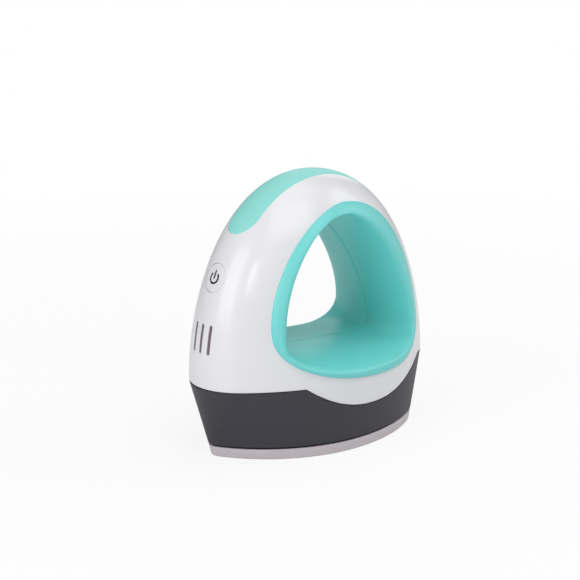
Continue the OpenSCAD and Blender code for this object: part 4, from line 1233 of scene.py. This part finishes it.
studio = {
    "sky": 0.24,
    "skyColor": (0.98, 0.99, 1),
    "white": (1, 1, 1),
    "floorColor": (0.9, 0.9, 0.9),
    # floorHalf, glowFrom and glowReach are in metres
    "floorHalf": 3,
    "glowFrom": 0.1,
    "glowReach": 0.5,
    "floorGlow": 0.85,
    "aim": (0, 0, 60),
    "lamps": {
        # place, width, height, watts
        "side": ((-820, -60, 420), 560, 560, 2.7),
        "low": ((-760, -420, 240), 560, 560, 0.5),
        "spark": ((-642, -725, 440), 100, 210, 0.6),
        "top": ((0, 0, 900), 600, 600, 1.5),
        "front": ((-150, -560, 800), 560, 560, 2.2),
        "tail": ((700, -360, 640), 560, 560, 2.2),
        "right": ((860, -60, 260), 560, 560, 0.4),
        "back": ((560, 560, 520), 560, 560, 1.1),
    },
}


# Mixes a lit shader with plain white for rays from the camera and rays through glass
def whiteWhenSeen(tree, lit, shown, glow, output):
    tree.graph.nodes.clear()
    path = tree.graph.nodes.new("ShaderNodeLightPath").outputs
    camera, glass = (Value(tree, path[name]) for name in ("Is Camera Ray", "Is Transmission Ray"))
    share = camera.atLeast(glass) * glow(tree)
    blend = tree.node("ShaderNodeMixShader", {}, {0: share, 1: tree.node(*lit)[0], 2: tree.node(*shown)[0]})
    tree.node(output, {}, {0: blend[0]})


def makeSky():
    world = bpy.data.worlds.new("sky")
    bpy.context.scene.world = world
    lit = ("ShaderNodeBackground", {}, {"Color": studio["skyColor"], "Strength": studio["sky"]})
    shown = ("ShaderNodeBackground", {}, {"Color": studio["white"], "Strength": 1.0})
    whiteWhenSeen(NodeTree(world), lit, shown, lambda tree: 1.0, "ShaderNodeOutputWorld")


# The floor's white share grows with the distance from the object, so its shadow stays near it
def floorShare(tree):
    place = tree.node("ShaderNodeTexCoord", {}, {})[3]
    away = tree.node("ShaderNodeVectorMath", {"operation": "LENGTH"}, {0: place})[1]
    rising = (away - studio["glowFrom"]) * (1 / studio["glowReach"])
    return studio["floorGlow"] + rising.atLeast(0.0).atMost(1.0) * (1 - studio["floorGlow"])


def makeFloor():
    bm = bmesh.new()
    bmesh.ops.create_grid(bm, x_segments=2, y_segments=2, size=studio["floorHalf"])
    mesh = bpy.data.meshes.new("floor")
    bm.to_mesh(mesh)
    bm.free()
    material = bpy.data.materials.new("floorWhite")
    lit = ("ShaderNodeBsdfDiffuse", {}, {"Color": studio["floorColor"]})
    shown = ("ShaderNodeEmission", {}, {"Color": studio["white"], "Strength": 1.0})
    whiteWhenSeen(NodeTree(material), lit, shown, floorShare, "ShaderNodeOutputMaterial")
    mesh.materials.append(material)
    newObject("floor", mesh)


def makeLamps():
    for name, (place, width, height, watts) in studio["lamps"].items():
        data = bpy.data.lights.new(name, "AREA")
        data.shape, data.size, data.size_y = "RECTANGLE", width * toMetres, height * toMetres
        data.energy = watts
        lamp = bpy.data.objects.new(name, data)
        bpy.context.scene.collection.objects.link(lamp)
        lamp.location = Vector(place) * toMetres
        lamp.rotation_euler = (Vector(studio["aim"]) - Vector(place)).to_track_quat("-Z", "Y").to_euler()


makeSky()
makeFloor()
makeLamps()
bpy.context.scene.view_settings.view_transform = "Standard"
print("studio set")
